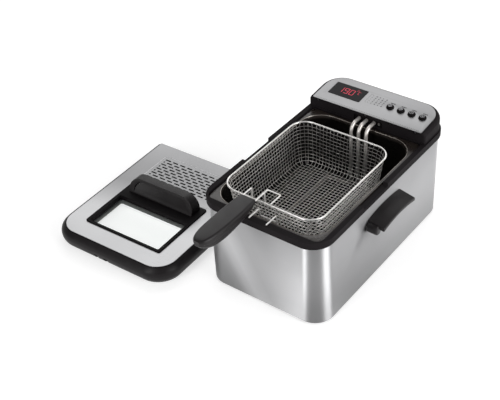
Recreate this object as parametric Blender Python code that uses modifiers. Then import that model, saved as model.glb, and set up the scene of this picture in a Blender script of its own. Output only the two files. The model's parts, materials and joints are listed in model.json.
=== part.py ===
"""A counter-top deep fryer, modelled as it comes apart on a bench.

The body stands on four rubber feet. The control head, with the heating element, sits on the
rear of the body. The frying basket hangs in its drain position on the front of the rim, and
the lid lies on the counter to the left. Lengths are in metres: +X is the fryer's right, +Y
its rear and +Z up. The origin is on the counter, below the middle of everything.
"""
import math

import bmesh
import bpy
from mathutils import Vector

GAP = 0.0003            # between pieces that rest on each other
CORNER_STEPS = 5        # segments in a quarter of a loft's round corner

# Brushed steel body
BODY_X = 0.126
BODY_Y = 0.2125
BODY_CORNER = 0.038
BODY_TOP = 0.1727
SHEET = 0.001
FOOT_HEIGHT = 0.003
FOOT_X = 0.090
FOOT_Y = 0.175

# Plastic rim around the top of the body
RIM_X = 0.1295
RIM_Y = 0.2185
RIM_BOTTOM = 0.173
RIM_TOP = 0.187
WELL = (-0.1195, 0.1195, -0.2055, 0.133)
NOTCH_Y = (-0.084, -0.004)
NOTCH_FLOOR = 0.1785

# Oil pot
POT_LIP = (-0.1173, 0.1173, -0.2033, 0.1308)
POT_MOUTH = (-0.1127, 0.1127, -0.1982, 0.1247)
POT_BASE = (-0.103, 0.103, -0.188, 0.113)
POT_FLANGE = 0.1833
POT_FLOOR = 0.035
POT_SHEET = 0.0012

# Control head
HEAD_X = 0.127
HEAD_FRONT = 0.1306
HEAD_REAR = 0.2165
HEAD_SEAM = 0.1903
PANEL_FRONT = (0.0, 0.129, 0.2112)      # middle of the panel's front edge
PANEL_TILT = math.radians(5.15)
PANEL_X = 0.1185
PANEL_DEPTH = 0.0815
PANEL_SHEET = 0.001
DISPLAY = (-0.1003, -0.0300, 0.0250, 0.0632)
BUTTON_NAMES = ("power_button", "program_button", "minus_button", "plus_button")
BUTTON_X = 0.0299
BUTTON_PITCH = 0.0229
BUTTON_Y = 0.0405
BUTTON_RADIUS = 0.0072
RESET_AT = (0.060, 0.2110, 0.199)
GLAND_AT = (-0.060, 0.2165, 0.199)
TONGUE = (-0.071, 0.071, 0.150, 0.196)

# Heating element and thermostat probe
TUBE_RADIUS = 0.0035
TUBE_X = (-0.0154, 0.0006, 0.0170)
TUBE_Z = 0.195
LEG_Y = 0.105
LOOP_X = 0.070
LOOP_FRONT = -0.150
LOOP_Z = 0.055

# Basket, hung in its drain position
RIM_WIRE = (-0.100, 0.100, -0.1855, 0.0600)
RIM_WIRE_Z = 0.205
RIM_WIRE_RADIUS = 0.0016
WIRE_RADIUS = 0.0012
BASKET_FLOOR = 0.1225
HOOK_X = (-0.0165, 0.0195)
HOOK_TIP_Y = -0.215

# Basket handle
GRIP_X = -0.025
FORK_HALF = 0.0134
FORK_Z = 0.2178
FORK_APEX_Y = -0.175
FORK_TOE_Z = 0.192

# Carry handles on the sides of the body
CARRY_Y = (-0.0715, 0.0420)
CARRY_REACH = 0.160

# Lid
LID_AT = (-0.3116, -0.1216)
LID_YAW = math.radians(1.5)
LID_PLATE = (-0.1307, 0.1307, -0.1606, 0.1605)
LID_TOP = 0.0358
LID_SHEET = 0.001
WINDOW = (-0.0855, 0.0855, -0.1170, -0.0265)
BEZEL = (-0.0925, 0.0925, -0.1225, 0.0265)
SLOT_ROWS = 9
SLOT_COLUMNS = 9
SLOT_PITCH = (0.0188, 0.0079)
SLOT_SIZE = (0.0132, 0.0036)
SLOT_FIRST = (-0.0842, 0.1175)
LID_HANDLE_X = 0.079
LID_HANDLE_Y = (-0.007, 0.021)
LID_SCREW_X = 0.060

LOOKS = {
    "brushed_steel": ((0.56, 0.57, 0.58), 1.0, 0.34),
    "bright_wire": ((0.78, 0.77, 0.75), 1.0, 0.18),
    "sheet_metal": ((0.62, 0.62, 0.61), 1.0, 0.42),
    "black_plastic": ((0.018, 0.017, 0.017), 0.0, 0.38),
    "black_enamel": ((0.022, 0.019, 0.017), 0.0, 0.22),
    "dark_glass": ((0.006, 0.006, 0.007), 0.0, 0.06),
    "clear_glass": ((0.75, 0.80, 0.78), 0.0, 0.04),
    "black_rubber": ((0.020, 0.020, 0.020), 0.0, 0.75),
    "grey_silicone": ((0.30, 0.30, 0.30), 0.0, 0.60),
    "board_green": ((0.015, 0.110, 0.045), 0.0, 0.45),
    "cream_nylon": ((0.70, 0.66, 0.55), 0.0, 0.50),
    "filter_felt": ((0.022, 0.022, 0.022), 0.0, 0.90),
    "red_plastic": ((0.45, 0.02, 0.02), 0.0, 0.40),
}


# ---------------------------------------------------------------- tools

def clear_scene():
    for obj in list(bpy.data.objects):
        bpy.data.objects.remove(obj, do_unlink=True)


def collection(name):
    made = bpy.data.collections.new(name)
    bpy.context.scene.collection.children.link(made)
    return made


def make_look(name):
    colour, metallic, roughness = LOOKS[name]
    material = bpy.data.materials.new(name)
    material.use_nodes = True
    shader = material.node_tree.nodes["Principled BSDF"]
    shader.inputs["Base Color"].default_value = (*colour, 1.0)
    shader.inputs["Metallic"].default_value = metallic
    shader.inputs["Roughness"].default_value = roughness
    material.diffuse_color = (*colour, 1.0)
    return material


def look(name):
    return bpy.data.materials.get(name) or make_look(name)


def empty(name, parent=None, at=(0, 0, 0), turn=(0, 0, 0)):
    made = bpy.data.objects.new(name, None)
    made.empty_display_size = 0.02
    GUIDES.objects.link(made)
    made.parent = parent
    made.location = at
    made.rotation_euler = turn
    return made


def place(mesh, name, finish, parent, at=(0, 0, 0), turn=(0, 0, 0)):
    """Make a mesh a part, or a cutter where it has no finish."""
    obj = bpy.data.objects.new(name, mesh)
    if finish:
        PARTS.objects.link(obj)
        mesh.materials.clear()
        mesh.materials.append(look(finish))
        mesh.shade_smooth()
        mesh.set_sharp_from_angle(angle=math.radians(35))
    else:
        CUTTERS.objects.link(obj)
        obj.hide_render = True
        obj.display_type = "WIRE"
    obj.parent = parent
    obj.location = at
    obj.rotation_euler = turn
    return obj


def mesh_of(curve):
    """A curve's closed mesh, with its caps welded on."""
    obj = bpy.data.objects.new("outline", curve)
    GUIDES.objects.link(obj)
    graph = bpy.context.evaluated_depsgraph_get()
    mesh = bpy.data.meshes.new_from_object(obj.evaluated_get(graph))
    bpy.data.objects.remove(obj)
    bpy.data.curves.remove(curve)
    work = bmesh.new()
    work.from_mesh(mesh)
    bmesh.ops.remove_doubles(work, verts=work.verts, dist=0.00001)
    bmesh.ops.recalc_face_normals(work, faces=work.faces)
    work.to_mesh(mesh)
    work.free()
    return mesh


def bevel(obj, width, segments=2):
    modifier = obj.modifiers.new("round edges", "BEVEL")
    modifier.width = width
    modifier.segments = segments
    modifier.limit_method = "ANGLE"
    modifier.angle_limit = math.radians(40)


def boolean(obj, other, operation="DIFFERENCE"):
    modifier = obj.modifiers.new(operation.lower(), "BOOLEAN")
    modifier.operation = operation
    modifier.solver = "EXACT"
    modifier.object = other


def grow(box, by):
    """A box of (x0, x1, y0, y1), wider by the same amount on all four sides."""
    return (box[0] - by, box[1] + by, box[2] - by, box[3] + by)


def corner_steps(radius):
    """Segments that a corner of a flat outline needs, by its radius."""
    if radius > 0.020:
        return 6
    return 3 if radius > 0.005 else 2


def rounded(box, front, rear=None, steps=None):
    """Anticlockwise outline of a rectangle with round corners, front and rear."""
    x0, x1, y0, y1 = box
    rear = front if rear is None else rear
    corners = (
        (x0 + front, y0 + front, front, 180),
        (x1 - front, y0 + front, front, 270),
        (x1 - rear, y1 - rear, rear, 0),
        (x0 + rear, y1 - rear, rear, 90),
    )
    points = []
    for x, y, radius, start in corners:
        count = steps or corner_steps(radius)
        for step in range(count + 1):
            angle = math.radians(start + 90 * step / count)
            points.append((x + radius * math.cos(angle), y + radius * math.sin(angle)))
    return points


def rectangle(x0, x1, y0, y1):
    return [(x0, y0), (x1, y0), (x1, y1), (x0, y1)]


def circle(x, y, radius, sides=16):
    angles = [2 * math.pi * step / sides for step in range(sides)]
    return [(x + radius * math.cos(a), y + radius * math.sin(a)) for a in angles]


def slab(name, outlines, low, high, finish, parent, plane="XY"):
    """Flat piece with the given outline and holes, from low to high across its plane."""
    curve = bpy.data.curves.new(name, "CURVE")
    curve.dimensions = "2D"
    curve.fill_mode = "BOTH"
    curve.extrude = (high - low) / 2
    for outline in outlines:
        spline = curve.splines.new("POLY")
        spline.points.add(len(outline) - 1)
        for point, (u, v) in zip(spline.points, outline):
            point.co = (u, v, 0, 1)
        spline.use_cyclic_u = True
    middle = (low + high) / 2
    poses = {
        "XY": ((0, 0, middle), (0, 0, 0)),
        "XZ": ((0, middle, 0), (math.pi / 2, 0, 0)),
        "YZ": ((middle, 0, 0), (math.pi / 2, 0, math.pi / 2)),
    }
    at, turn = poses[plane]
    return place(mesh_of(curve), name, finish, parent, at, turn)


def block(name, box, low, high, finish, parent):
    """Plain box over (x0, x1, y0, y1), from low to high."""
    x0, x1, y0, y1 = box
    middle = Vector(((x0 + x1) / 2, (y0 + y1) / 2, (low + high) / 2))
    bpy.ops.mesh.primitive_cube_add(size=1)
    mould = bpy.context.object
    mesh = mould.data
    for vertex in mesh.vertices:
        vertex.co.x *= x1 - x0
        vertex.co.y *= y1 - y0
        vertex.co.z *= high - low
    bpy.data.objects.remove(mould)
    return place(mesh, name, finish, parent, middle)


def bridge(work, upper, lower):
    count = len(upper)
    for i in range(count):
        j = (i + 1) % count
        work.faces.new((upper[i], lower[i], lower[j], upper[j]))


def stack(rings):
    """A bmesh with one row of vertices for each ring, joined by quads."""
    work = bmesh.new()
    rows = [[work.verts.new(point) for point in ring] for ring in rings]
    for upper, lower in zip(rows, rows[1:]):
        bridge(work, upper, lower)
    return work, rows


def finish_mesh(work, name):
    mesh = bpy.data.meshes.new(name)
    work.to_mesh(mesh)
    work.free()
    return mesh


def shell(name, rings, thickness, finish, parent, floor=False):
    """Thin sheet through unlike rings, thickened away from the side that the rings draw."""
    work, rows = stack(rings)
    if floor:
        work.faces.new(list(reversed(rows[-1])))
    obj = place(finish_mesh(work, name), name, finish, parent)
    modifier = obj.modifiers.new("sheet", "SOLIDIFY")
    modifier.thickness = thickness
    modifier.offset = -1
    modifier.use_even_offset = True
    return obj


def loft(name, rings, finish, parent, ring_shaped=False):
    """Closed solid through unlike rings: capped at its ends, or closed on itself."""
    work, rows = stack(rings)
    if ring_shaped:
        bridge(work, rows[-1], rows[0])
    else:
        work.faces.new(rows[0])
        work.faces.new(list(reversed(rows[-1])))
    bmesh.ops.recalc_face_normals(work, faces=work.faces)
    return place(finish_mesh(work, name), name, finish, parent)


def flat_ring(box, z, front, rear=None):
    return [(x, y, z) for x, y in rounded(box, front, rear, CORNER_STEPS)]


def turned(name, profile, finish, parent, at, turn=(0, 0, 0), steps=16):
    """Solid turned about local Z from (radius, height) points, top to bottom."""
    mesh = bpy.data.meshes.new(name)
    edges = [(i, i + 1) for i in range(len(profile) - 1)]
    mesh.from_pydata([(radius, 0, height) for radius, height in profile], edges, [])
    obj = place(mesh, name, finish, parent, at, turn)
    modifier = obj.modifiers.new("turn", "SCREW")
    modifier.steps = steps
    modifier.render_steps = steps
    modifier.use_merge_vertices = True
    modifier.merge_threshold = 0.00005
    return obj


def pin(name, radius, length, finish, parent, at, turn=(0, 0, 0), steps=12):
    """Plain round pin that starts at a point and runs along its local Z."""
    profile = [(0, length), (radius, length), (radius, 0), (0, 0)]
    return turned(name, profile, finish, parent, at, turn, steps)


def bent_path(corners, radius, steps=4):
    """Points of a wire through corners, each bent to the same radius."""
    corners = [Vector(corner) for corner in corners]
    points = [corners[0]]
    for before, corner, after in zip(corners, corners[1:], corners[2:]):
        to_before = (before - corner).normalized()
        to_after = (after - corner).normalized()
        half = to_before.angle(to_after) / 2
        setback = radius / math.tan(half)
        centre = corner + (to_before + to_after).normalized() * radius / math.sin(half)
        start = (corner + to_before * setback - centre).normalized()
        end = (corner + to_after * setback - centre).normalized()
        for step in range(steps + 1):
            points.append(centre + start.slerp(end, step / steps) * radius)
    points.append(corners[-1])
    return points


def tube(name, points, radius, finish, parent, closed=False):
    curve = bpy.data.curves.new(name, "CURVE")
    curve.dimensions = "3D"
    curve.bevel_depth = radius
    curve.bevel_resolution = 2
    curve.use_fill_caps = True
    spline = curve.splines.new("POLY")
    spline.points.add(len(points) - 1)
    for point, place_at in zip(spline.points, points):
        point.co = (*place_at, 1)
    spline.use_cyclic_u = closed
    return place(mesh_of(curve), name, finish, parent)


# ---------------------------------------------------------------- body

def make_body():
    outside = (-BODY_X, BODY_X, -BODY_Y, BODY_Y)
    inside = grow(outside, -SHEET)
    housing = slab("outer_housing", [rounded(outside, BODY_CORNER),
                                     rounded(inside, BODY_CORNER - SHEET)],
                   0, BODY_TOP, "brushed_steel", ROOT)
    slab("base_plate", [rounded(grow(inside, -GAP), BODY_CORNER - SHEET - GAP)],
         GAP, 0.0033, "black_plastic", ROOT)
    for side, x in (("left", -FOOT_X), ("right", FOOT_X)):
        for end, y in (("front", -FOOT_Y), ("rear", FOOT_Y)):
            profile = [(0, 0), (0.010, 0), (0.009, -FOOT_HEIGHT), (0, -FOOT_HEIGHT)]
            turned(f"foot_{end}_{side}", profile, "black_rubber", ROOT, (x, y, 0), steps=16)
    shield = (-0.1185, 0.1185, -0.2045, 0.137)
    slab("heat_shield", [rounded(shield, 0.03), rounded(grow(shield, -SHEET), 0.029)],
         0.0036, 0.170, "sheet_metal", ROOT)
    return housing


def make_rim():
    outside = (-RIM_X, RIM_X, -RIM_Y, RIM_Y)
    rim = slab("top_rim", [rounded(outside, 0.042), rounded(WELL, 0.014, 0.006)],
               RIM_BOTTOM, RIM_TOP, "black_plastic", ROOT)
    bevel(rim, 0.0015, 1)
    ledge = slab("ledge", [rounded(grow(WELL, 0.002), 0.015, 0.008),
                           rounded((-0.1145, 0.1145, -0.2000, 0.1275), 0.042)],
                 0.1765, 0.1797, None, ROOT)
    boolean(rim, ledge, "UNION")
    pocket = slab("deck_pocket", [rounded((-0.118, 0.118, 0.138, 0.2095), 0.006, 0.034)],
                  0.170, 0.1815, None, ROOT)
    boolean(rim, pocket)
    mouth = slab("tongue_mouth", [rounded(grow(TONGUE, 0.002), 0.006)], 0.170, 0.190, None, ROOT)
    boolean(rim, mouth)
    notches = slab("finger_notches", [rectangle(-0.135, -WELL[1] + 0.001, *NOTCH_Y),
                                      rectangle(WELL[1] - 0.001, 0.135, *NOTCH_Y)],
                   NOTCH_FLOOR + 0.0015, 0.192, None, ROOT)
    boolean(rim, notches)


def make_pot():
    rings = [
        flat_ring(POT_LIP, 0.1800, 0.011, 0.005),
        flat_ring(POT_LIP, POT_FLANGE, 0.011, 0.005),
        flat_ring(POT_MOUTH, POT_FLANGE, 0.043, 0.046),
        flat_ring(grow(POT_MOUTH, -0.0008), 0.1780, 0.043, 0.046),
        flat_ring(POT_BASE, 0.062, 0.040),
        flat_ring(grow(POT_BASE, -0.004), 0.046, 0.036),
        flat_ring(grow(POT_BASE, -0.013), 0.0375, 0.028),
        flat_ring(grow(POT_BASE, -0.024), POT_FLOOR, 0.018),
    ]
    shell("oil_pot", rings, POT_SHEET, "black_enamel", ROOT, floor=True)


def carry_section(side, y):
    """Section of a carry handle's plate, which arches along Y and falls away outwards."""
    middle = sum(CARRY_Y) / 2
    arch = 1 - ((y - middle) / (CARRY_Y[1] - middle)) ** 2
    inner = 0.1450 + 0.0050 * arch
    outer = 0.1375 + 0.0065 * arch
    root = BODY_X + GAP
    points = [
        (root, inner),
        (CARRY_REACH - 0.003, outer),
        (CARRY_REACH, outer - 0.0015),
        (CARRY_REACH, outer - 0.0060),
        (CARRY_REACH - 0.003, outer - 0.0068),
        (root, inner - 0.0070),
    ]
    return [(side * x, y, z) for x, z in points]


def make_carry_handles(housing):
    stations = 9
    for name, side in (("left", -1), ("right", 1)):
        ys = [CARRY_Y[0] + (CARRY_Y[1] - CARRY_Y[0]) * i / (stations - 1) for i in range(stations)]
        handle = loft(f"{name}_carry_handle", [carry_section(side, y) for y in ys],
                      "black_plastic", ROOT)
        root = BODY_X + GAP
        for end, y0 in (("front", CARRY_Y[0]), ("rear", CARRY_Y[1] - 0.008)):
            low, high = sorted((side * root, side * 0.150))
            web = slab("handle_web", [rounded((y0, y0 + 0.008, 0.1210, 0.1420), 0.0035)],
                       low, high, None, ROOT, "YZ")
            boolean(handle, web, "UNION")
            quarter = side * math.pi / 2
            bore = pin("screw_bore", 0.0022, 0.0180, None, ROOT,
                       (side * 0.1235, y0 + 0.004, 0.131), (0, quarter, 0))
            boolean(handle, bore)
            boolean(housing, bore)
            profile = [(0, 0.0130), (0.0017, 0.0130), (0.0017, 0), (0.0034, 0),
                       (0.0034, -0.0022), (0, -0.0022)]
            turned(f"{name}_handle_screw_{end}", profile, "sheet_metal", ROOT,
                   (side * 0.1245, y0 + 0.004, 0.131), (0, quarter, 0), steps=12)


# ---------------------------------------------------------------- control head

def tilted_ring(box, drop, front, rear):
    """Ring at a depth below the panel's tilted top face."""
    slope = math.tan(PANEL_TILT)
    points = rounded(box, front, rear, CORNER_STEPS)
    return [(x, y, PANEL_FRONT[2] - drop + slope * (y - PANEL_FRONT[1])) for x, y in points]


def make_head_shells():
    wall = (-HEAD_X, HEAD_X, HEAD_FRONT, HEAD_REAR)
    rings = [
        tilted_ring((-0.111, 0.111, 0.1396, 0.2035), 0.0013, 0.004, 0.030),
        tilted_ring((-0.1205, 0.1205, HEAD_FRONT, 0.2120), 0.0013, 0.004, 0.037),
        tilted_ring((-0.1248, 0.1248, HEAD_FRONT, 0.2150), 0.0035, 0.004, 0.040),
        tilted_ring(wall, 0.0085, 0.004, 0.042),
        flat_ring(wall, HEAD_SEAM + GAP, 0.004, 0.042),
    ]
    cover = shell("head_cover", rings, 0.002, "black_plastic", HEAD)
    recess = block("element_recess", (-0.026, 0.036, 0.120, 0.138), 0.188, 0.2035, None, HEAD)
    boolean(cover, recess)
    for name, at, radius in (("reset_hole", RESET_AT, 0.0033), ("gland_hole", GLAND_AT, 0.0058)):
        hole = pin(name, radius, 0.020, None, HEAD, (at[0], 0.224, at[2]), (math.pi / 2, 0, 0))
        boolean(cover, hole)
    rings = [
        flat_ring(wall, HEAD_SEAM, 0.004, 0.042),
        flat_ring(wall, RIM_TOP + GAP, 0.004, 0.042),
        flat_ring(TONGUE, RIM_TOP + GAP, 0.006),
        flat_ring(TONGUE, 0.108, 0.006),
    ]
    shell("head_base", rings, 0.002, "black_plastic", HEAD, floor=True)


def make_panel():
    outline = rounded((-PANEL_X, PANEL_X, 0, PANEL_DEPTH), 0.003, 0.036)
    holes = [rounded(DISPLAY, 0.0018)]
    holes += [circle(x, BUTTON_Y, BUTTON_RADIUS + 0.0005) for x in button_places()]
    panel = slab("control_panel", [outline] + holes, -PANEL_SHEET, 0, "brushed_steel", PANEL)
    for step in range(-2, 3):
        x = 0.053 * step
        tab = block("panel_tab", (x - 0.0018, x + 0.0018, 0, 0.0006), -0.0048, -0.0004, None, PANEL)
        boolean(panel, tab, "UNION")


def button_places():
    return [BUTTON_X + BUTTON_PITCH * i for i in range(len(BUTTON_NAMES))]


def make_display():
    window = grow(DISPLAY, -GAP)
    slab("display_window", [rounded(window, 0.0015)], -0.0008, 0.0004, "dark_glass", PANEL)
    x0, x1, y0, y1 = DISPLAY
    box = (x0 + 0.008, x1 - 0.008, y0 + 0.006, y1 - 0.006)
    block("display_module", box, -0.0075, -0.0011, "cream_nylon", PANEL)
    board = (-0.104, 0.109, 0.0145, 0.071)
    slab("control_board", [rounded(board, 0.002)], -0.0095, -0.0079, "board_green", PANEL)


def make_buttons():
    cap = BUTTON_RADIUS
    profile = [
        (0, 0.0046), (0.5 * cap, 0.0042), (0.85 * cap, 0.0029),
        (cap, 0.0006), (cap, -0.0015), (cap + 0.0016, -0.0015), (cap + 0.0016, -0.0023),
        (0.0022, -0.0023), (0.0022, -0.0032), (0, -0.0032),
    ]
    for name, x in zip(BUTTON_NAMES, button_places()):
        turned(name, profile, "black_plastic", PANEL, (x, BUTTON_Y, 0))
        box = (x - 0.003, x + 0.003, BUTTON_Y - 0.003, BUTTON_Y + 0.003)
        block(name.replace("button", "switch"), box, -0.0076, -0.0050, "cream_nylon", PANEL)


def make_head_inside():
    block("power_relay", (-0.056, -0.030, 0.166, 0.181), 0.1105, 0.1280, "cream_nylon", HEAD)
    block("terminal_block", (0.010, 0.046, 0.165, 0.181), 0.1105, 0.1240, "cream_nylon", HEAD)
    block("interlock_switch", (0.084, 0.104, 0.146, 0.152), 0.1897, 0.1975, "black_plastic", HEAD)
    backwards = (-math.pi / 2, 0, 0)
    x, y, z = RESET_AT
    pin("thermal_cutout", 0.0060, 0.0105, "cream_nylon", HEAD, (x, y - 0.0120, z), backwards)
    pin("reset_button", 0.0028, 0.0080, "red_plastic", HEAD, RESET_AT, backwards)
    profile = [
        (0.0034, 0.0050), (0.0062, 0.0050), (0.0076, 0.0035), (0.0080, GAP), (0.0054, GAP),
        (0.0054, -0.0050), (0.0034, -0.0050), (0.0034, 0.0050),
    ]
    turned("cord_gland", profile, "black_rubber", HEAD, GLAND_AT, backwards)


def make_element():
    start_y = 0.160
    left, middle, right = TUBE_X
    corners = [
        (left, start_y, TUBE_Z), (left, LEG_Y, TUBE_Z), (left, LEG_Y, LOOP_Z),
        (-LOOP_X, LEG_Y, LOOP_Z), (-LOOP_X, LOOP_FRONT, LOOP_Z),
        (LOOP_X, LOOP_FRONT, LOOP_Z), (LOOP_X, LEG_Y, LOOP_Z),
        (right, LEG_Y, LOOP_Z), (right, LEG_Y, TUBE_Z), (right, start_y, TUBE_Z),
    ]
    tube("heating_element", bent_path(corners, 0.015), TUBE_RADIUS, "bright_wire", HEAD)
    corners = [(middle, start_y, TUBE_Z), (middle, LEG_Y, TUBE_Z), (middle, LEG_Y, 0.066)]
    tube("thermostat_probe", bent_path(corners, 0.015), TUBE_RADIUS, "bright_wire", HEAD)
    holes = [circle(x, TUBE_Z, TUBE_RADIUS + 2 * GAP) for x in TUBE_X]
    outline = rounded((-0.0255, 0.0350, 0.1908, 0.2030), 0.0015)
    slab("element_clamp", [outline] + holes, 0.1335, 0.1365, "black_plastic", HEAD, "XZ")
    pin("clamp_screw", 0.0026, 0.0018, "bright_wire", HEAD, (0.0285, 0.1331, 0.1965),
        (math.pi / 2, 0, 0))


# ---------------------------------------------------------------- basket

def make_basket():
    top = (-0.0975, 0.0975, -0.1840, 0.0537)
    base = (-0.0895, 0.0895, -0.1750, 0.0495)
    rings = [
        flat_ring(top, 0.2030, 0.030),
        flat_ring(base, 0.1300, 0.026),
        flat_ring(grow(base, -0.0025), 0.1245, 0.024),
        flat_ring(grow(base, -0.0080), BASKET_FLOOR, 0.019),
    ]
    shell("basket_mesh", rings, 0.0012, "bright_wire", BASKET, floor=True)
    tube("basket_rim_wire", flat_ring(RIM_WIRE, RIM_WIRE_Z, 0.031), RIM_WIRE_RADIUS,
         "bright_wire", BASKET, closed=True)
    left, right = HOOK_X
    wall_y = -0.1866
    corners = [
        (left, HOOK_TIP_Y, 0.1886), (left, wall_y, 0.1886), (left, wall_y + 0.0025, 0.172),
        (right, wall_y + 0.0025, 0.172), (right, wall_y, 0.1886), (right, HOOK_TIP_Y, 0.1886),
    ]
    tube("drain_hook", bent_path(corners, 0.004), WIRE_RADIUS, "bright_wire", BASKET)
    left, right = (-0.0195, 0.0085)
    front, rear, z = (RIM_WIRE[2], -0.1560, 0.2082)
    corners = [(left, front, z), (left, rear, z), (right, rear, z), (right, front, z)]
    tube("handle_bracket", bent_path(corners, 0.003), WIRE_RADIUS, "bright_wire", BASKET)


def grip_section(y, half, low, high, round_low, round_high):
    """Ring across the grip: a rectangle in X and Z with its own roundness below and above."""
    box = (GRIP_X - half, GRIP_X + half, low, high)
    return [(x, y, z) for x, z in rounded(box, round_low, round_high, 3)]


def make_handle():
    # y, half width, bottom, split between the two shells, top
    stations = (
        (-0.2040, 0.0160, 0.2120, 0.2160, 0.2225),
        (-0.2180, 0.0180, 0.2070, 0.2145, 0.2228),
        (-0.2400, 0.0193, 0.2025, 0.2130, 0.2230),
        (-0.2650, 0.0196, 0.1990, 0.2118, 0.2232),
        (-0.2900, 0.0192, 0.1975, 0.2112, 0.2235),
        (-0.3120, 0.0180, 0.1985, 0.2118, 0.2238),
        (-0.3270, 0.0155, 0.2020, 0.2130, 0.2236),
        (-0.3370, 0.0115, 0.2065, 0.2145, 0.2230),
        (-0.3425, 0.0060, 0.2110, 0.2160, 0.2215),
    )
    slot = block("fork_slot", (GRIP_X - 0.0150, GRIP_X + 0.0150, -0.2450, -0.1950),
                 FORK_Z - 0.0016, FORK_Z + 0.0016, None, HANDLE)
    upper = [grip_section(y, half, split, top, 0.0008, min(0.0042, half * 0.6))
             for y, half, low, split, top in stations]
    grip = loft("grip_upper", upper, "black_plastic", HANDLE)
    boolean(grip, slot)
    lower = [grip_section(y, half - 0.0012, low, split - GAP, min(0.0016, half * 0.25), 0.0008)
             for y, half, low, split, top in stations]
    base = loft("grip_lower", lower, "black_plastic", HANDLE)
    bore = pin("grip_bore", 0.0042, 0.0080, None, HANDLE, (GRIP_X, -0.280, 0.1950))
    boolean(base, bore)
    pin("grip_screw", 0.0036, 0.0030, "bright_wire", HANDLE, (GRIP_X, -0.280, 0.1995))
    left, right = (GRIP_X - FORK_HALF, GRIP_X + FORK_HALF)
    back = -0.2425
    corners = [
        (left, FORK_APEX_Y, FORK_TOE_Z), (left, FORK_APEX_Y, FORK_Z), (left, back, FORK_Z),
        (right, back, FORK_Z), (right, FORK_APEX_Y, FORK_Z), (right, FORK_APEX_Y, FORK_TOE_Z),
    ]
    tube("handle_fork", bent_path(corners, 0.0035), WIRE_RADIUS, "bright_wire", HANDLE)


# ---------------------------------------------------------------- lid

def lid_ring(reach, rear, z):
    """Ring of the lid's rim. It reaches past the plate, but stays below its rear edge."""
    x0, x1, y0, y1 = LID_PLATE
    box = (x0 - reach, x1 + reach, y0 - reach, y1 - rear)
    points = rounded(box, max(0.040 + reach, 0.030), 0.003, CORNER_STEPS)
    return [(x, y, min(z, LID_TOP - LID_SHEET - GAP) if y > 0.150 else z) for x, y in points]


def make_lid_rim():
    ledge = LID_TOP - LID_SHEET - GAP
    # reach past the plate's edge, how far inside its rear edge, height
    profile = (
        (-0.0070, 0.0110, 0), (-0.0070, 0.0110, ledge), (0.0004, 0.0035, ledge),
        (0.0004, 0.0028, LID_TOP + 0.0002), (0.0016, 0.0020, LID_TOP + 0.0002),
        (0.0060, 0.0012, 0.0322), (0.0100, 0.0010, 0.0275), (0.0120, 0.0008, 0.0205),
        (0.0108, 0.0008, 0.0110), (0.0065, 0.0014, 0.0030), (0.0030, 0.0028, 0),
    )
    rim = loft("lid_rim", [lid_ring(*row) for row in profile], "black_plastic", LID,
               ring_shaped=True)
    notches = slab("lid_notches", [rectangle(-0.0295, -0.0230, -0.175, -0.145),
                                   rectangle(-0.0065, 0.0000, -0.175, -0.145)],
                   -0.001, 0.0065, None, LID)
    boolean(rim, notches)
    path = flat_ring((-0.1206, 0.1206, -0.1505, 0.1465), 0.010, 0.030)
    tube("lid_gasket", path, 0.0024, "grey_silicone", LID, closed=True)


def slot_outlines():
    """Staggered rows of vent slots; every other row starts and ends with a short slot."""
    length, height = SLOT_SIZE
    pitch_x, pitch_y = SLOT_PITCH
    start, y = SLOT_FIRST
    end = start + pitch_x * (SLOT_COLUMNS - 1) + length
    outlines = []
    for row in range(SLOT_ROWS):
        shift = pitch_x / 2 if row % 2 else 0
        for column in range(-1, SLOT_COLUMNS):
            x0 = max(start + shift + pitch_x * column, start)
            x1 = min(start + shift + pitch_x * column + length, end)
            if x1 > x0 and (shift or column >= 0):
                outlines.append(rectangle(x0, x1, y - height / 2, y + height / 2))
        y -= pitch_y
    return outlines


def make_lid_plate(bores):
    opening = rounded((-0.0895, 0.0895, -0.1205, -0.0225), 0.004)
    plate = slab("lid_plate", [rounded(LID_PLATE, 0.040, 0.002, CORNER_STEPS), opening],
                 LID_TOP - LID_SHEET, LID_TOP, "brushed_steel", LID)
    boolean(plate, slab("vent_slots", slot_outlines(), 0.0340, 0.0370, None, LID))
    liner = (-0.1228, 0.1228, -0.1525, 0.1490)
    window = rounded((-0.0810, 0.0810, -0.1125, -0.0310), 0.004)
    vent = rounded((-0.0880, 0.0880, 0.0430, 0.1270), 0.006)
    slab("lid_liner", [rounded(liner, 0.032, 0.006), window, vent], 0.0215, 0.0225,
         "sheet_metal", LID)
    for bore in bores:
        boolean(plate, bore)


def make_window(bores):
    rings = [
        flat_ring(WINDOW, 0.0275, 0.003),
        flat_ring(WINDOW, 0.0380, 0.003),
        flat_ring(BEZEL, 0.0380, 0.004),
        flat_ring(BEZEL, LID_TOP + GAP, 0.004),
    ]
    bezel = shell("window_bezel", rings, 0.0016, "black_plastic", LID)
    for bore in bores:
        boolean(bezel, bore)
    pane = (-0.0882, 0.0882, -0.1197, -0.0238)
    slab("window_glass", [rounded(pane, 0.006)], 0.0240, 0.0272, "clear_glass", LID)
    slab("window_gasket", [rounded(pane, 0.006), rounded(grow(pane, -0.0045), 0.005)],
         0.0228, 0.0237, "grey_silicone", LID)


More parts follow.
